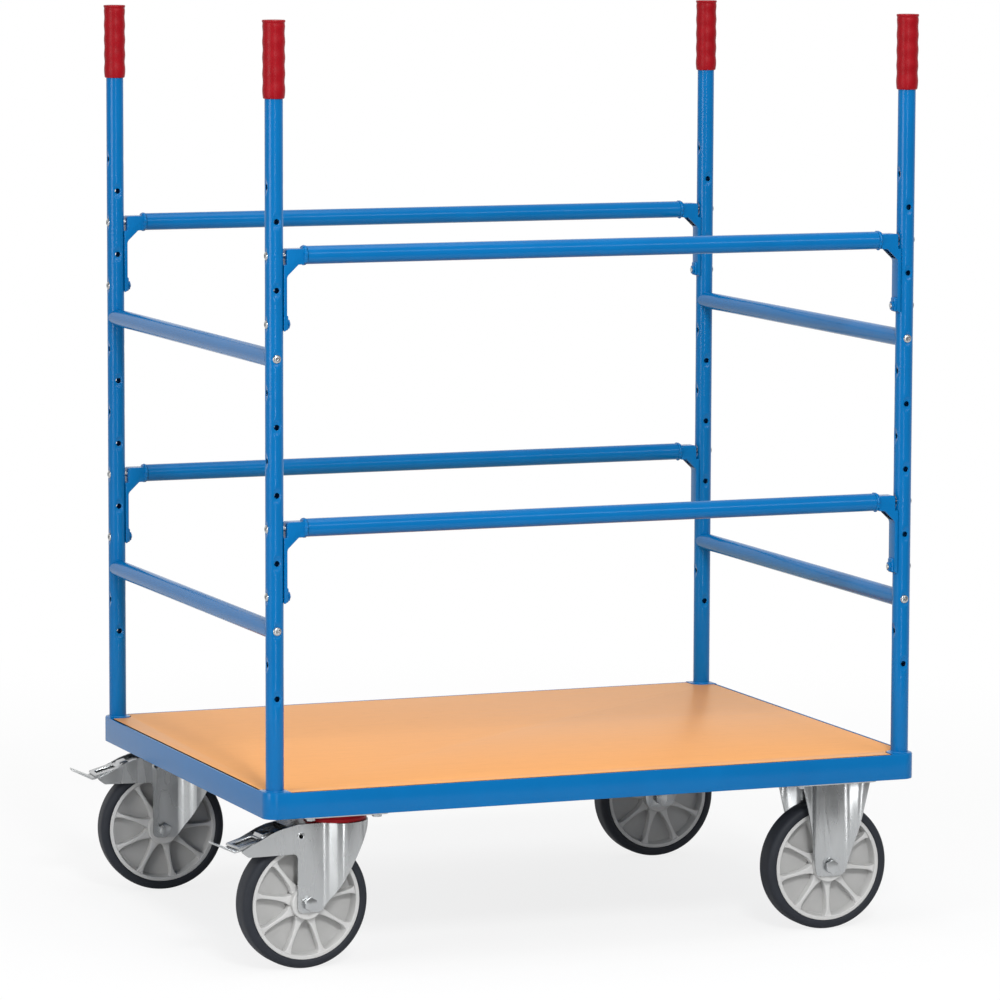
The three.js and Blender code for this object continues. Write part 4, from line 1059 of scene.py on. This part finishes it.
grain = add_node(tree, "ShaderNodeTexNoise", {
    "Vector": place, "Scale": 1 / MOULD_GRAIN, "Detail": 1.0,
})
skin = add_node(tree, "ShaderNodeBump", {
    "Height": grain.outputs[0], "Strength": 0.15, "Distance": 0.1 * MM,
})
shade(grey_nylon, shader, tone.outputs[2], satin.outputs[0], bump=skin)
half_rim = [(85.9, 18.4), (85.2, 19), (80.8, 19), (80, 18.2), (78.8, 6), (77, 3.5), (28, 3.5)]
hub_profile = [(6.3, -26), (23.6, -26), (25, -24.6), (25, 24.6), (23.6, 26), (6.3, 26)]
half_spoke = [(24, 8.8), (27, 7.0), (31, 5.4), (37, 4.0), (45, 3.1), (54, 2.7), (64, 2.6),
              (71, 3.0), (76, 4.2), (79, 6.2), (81.5, 8.4)]
spoke = slab(mirrored(half_spoke), "XZ", -SPOKE_HALF, SPOKE_HALF)
spoke_mesh = finished(spoke, softened(1.3, 3, 60))
wheel_parts = [spun(in_mm(mirrored(half_rim)), 96, "Y", closed=True),
               spun(in_mm(hub_profile), 48, "Y", closed=True)]
for i in range(SPOKES):
    arm = joined(spoke_mesh)
    bmesh.ops.rotate(arm, verts=arm.verts, matrix=Matrix.Rotation(2 * math.pi * i / SPOKES, 3, "Y"))
    wheel_parts.append(arm)
wheel_shape = joined(*wheel_parts)
for name, spot in axle_spots.items():
    kind, side = name.split("_")
    body = f"{kind}_wheel_{side}"
    turn = Matrix.Rotation(math.radians(WHEEL_TURNS[name]), 4, "Y")
    place_piece(f"tyre_ring_{name}", tyre_shape, rubber, body,
                [f"tyre_{name}"], spot, sharp=50)
    centre = place_piece(f"spoked_centre_{name}", wheel_shape, grey_nylon, body,
                         [f"wheel_centre_{name}"], spot @ turn)

    # How far each point stands out from the web: the web is painted darker, as painted shade,
    # and the crests lighter.
    back_to_origin = (spot @ turn).inverted()
    depths = [abs((back_to_origin @ v.co).y) for v in centre.data.vertices]
    crest_light = centre.data.attributes.new("crest_light", "FLOAT", "POINT")
    crest_light.data.foreach_set("value", [min(max((d - WEB_HALF) / CREST_RISE, 0), 1) for d in depths])


# The scene is brought up to date at the end.
bpy.context.view_layer.update()
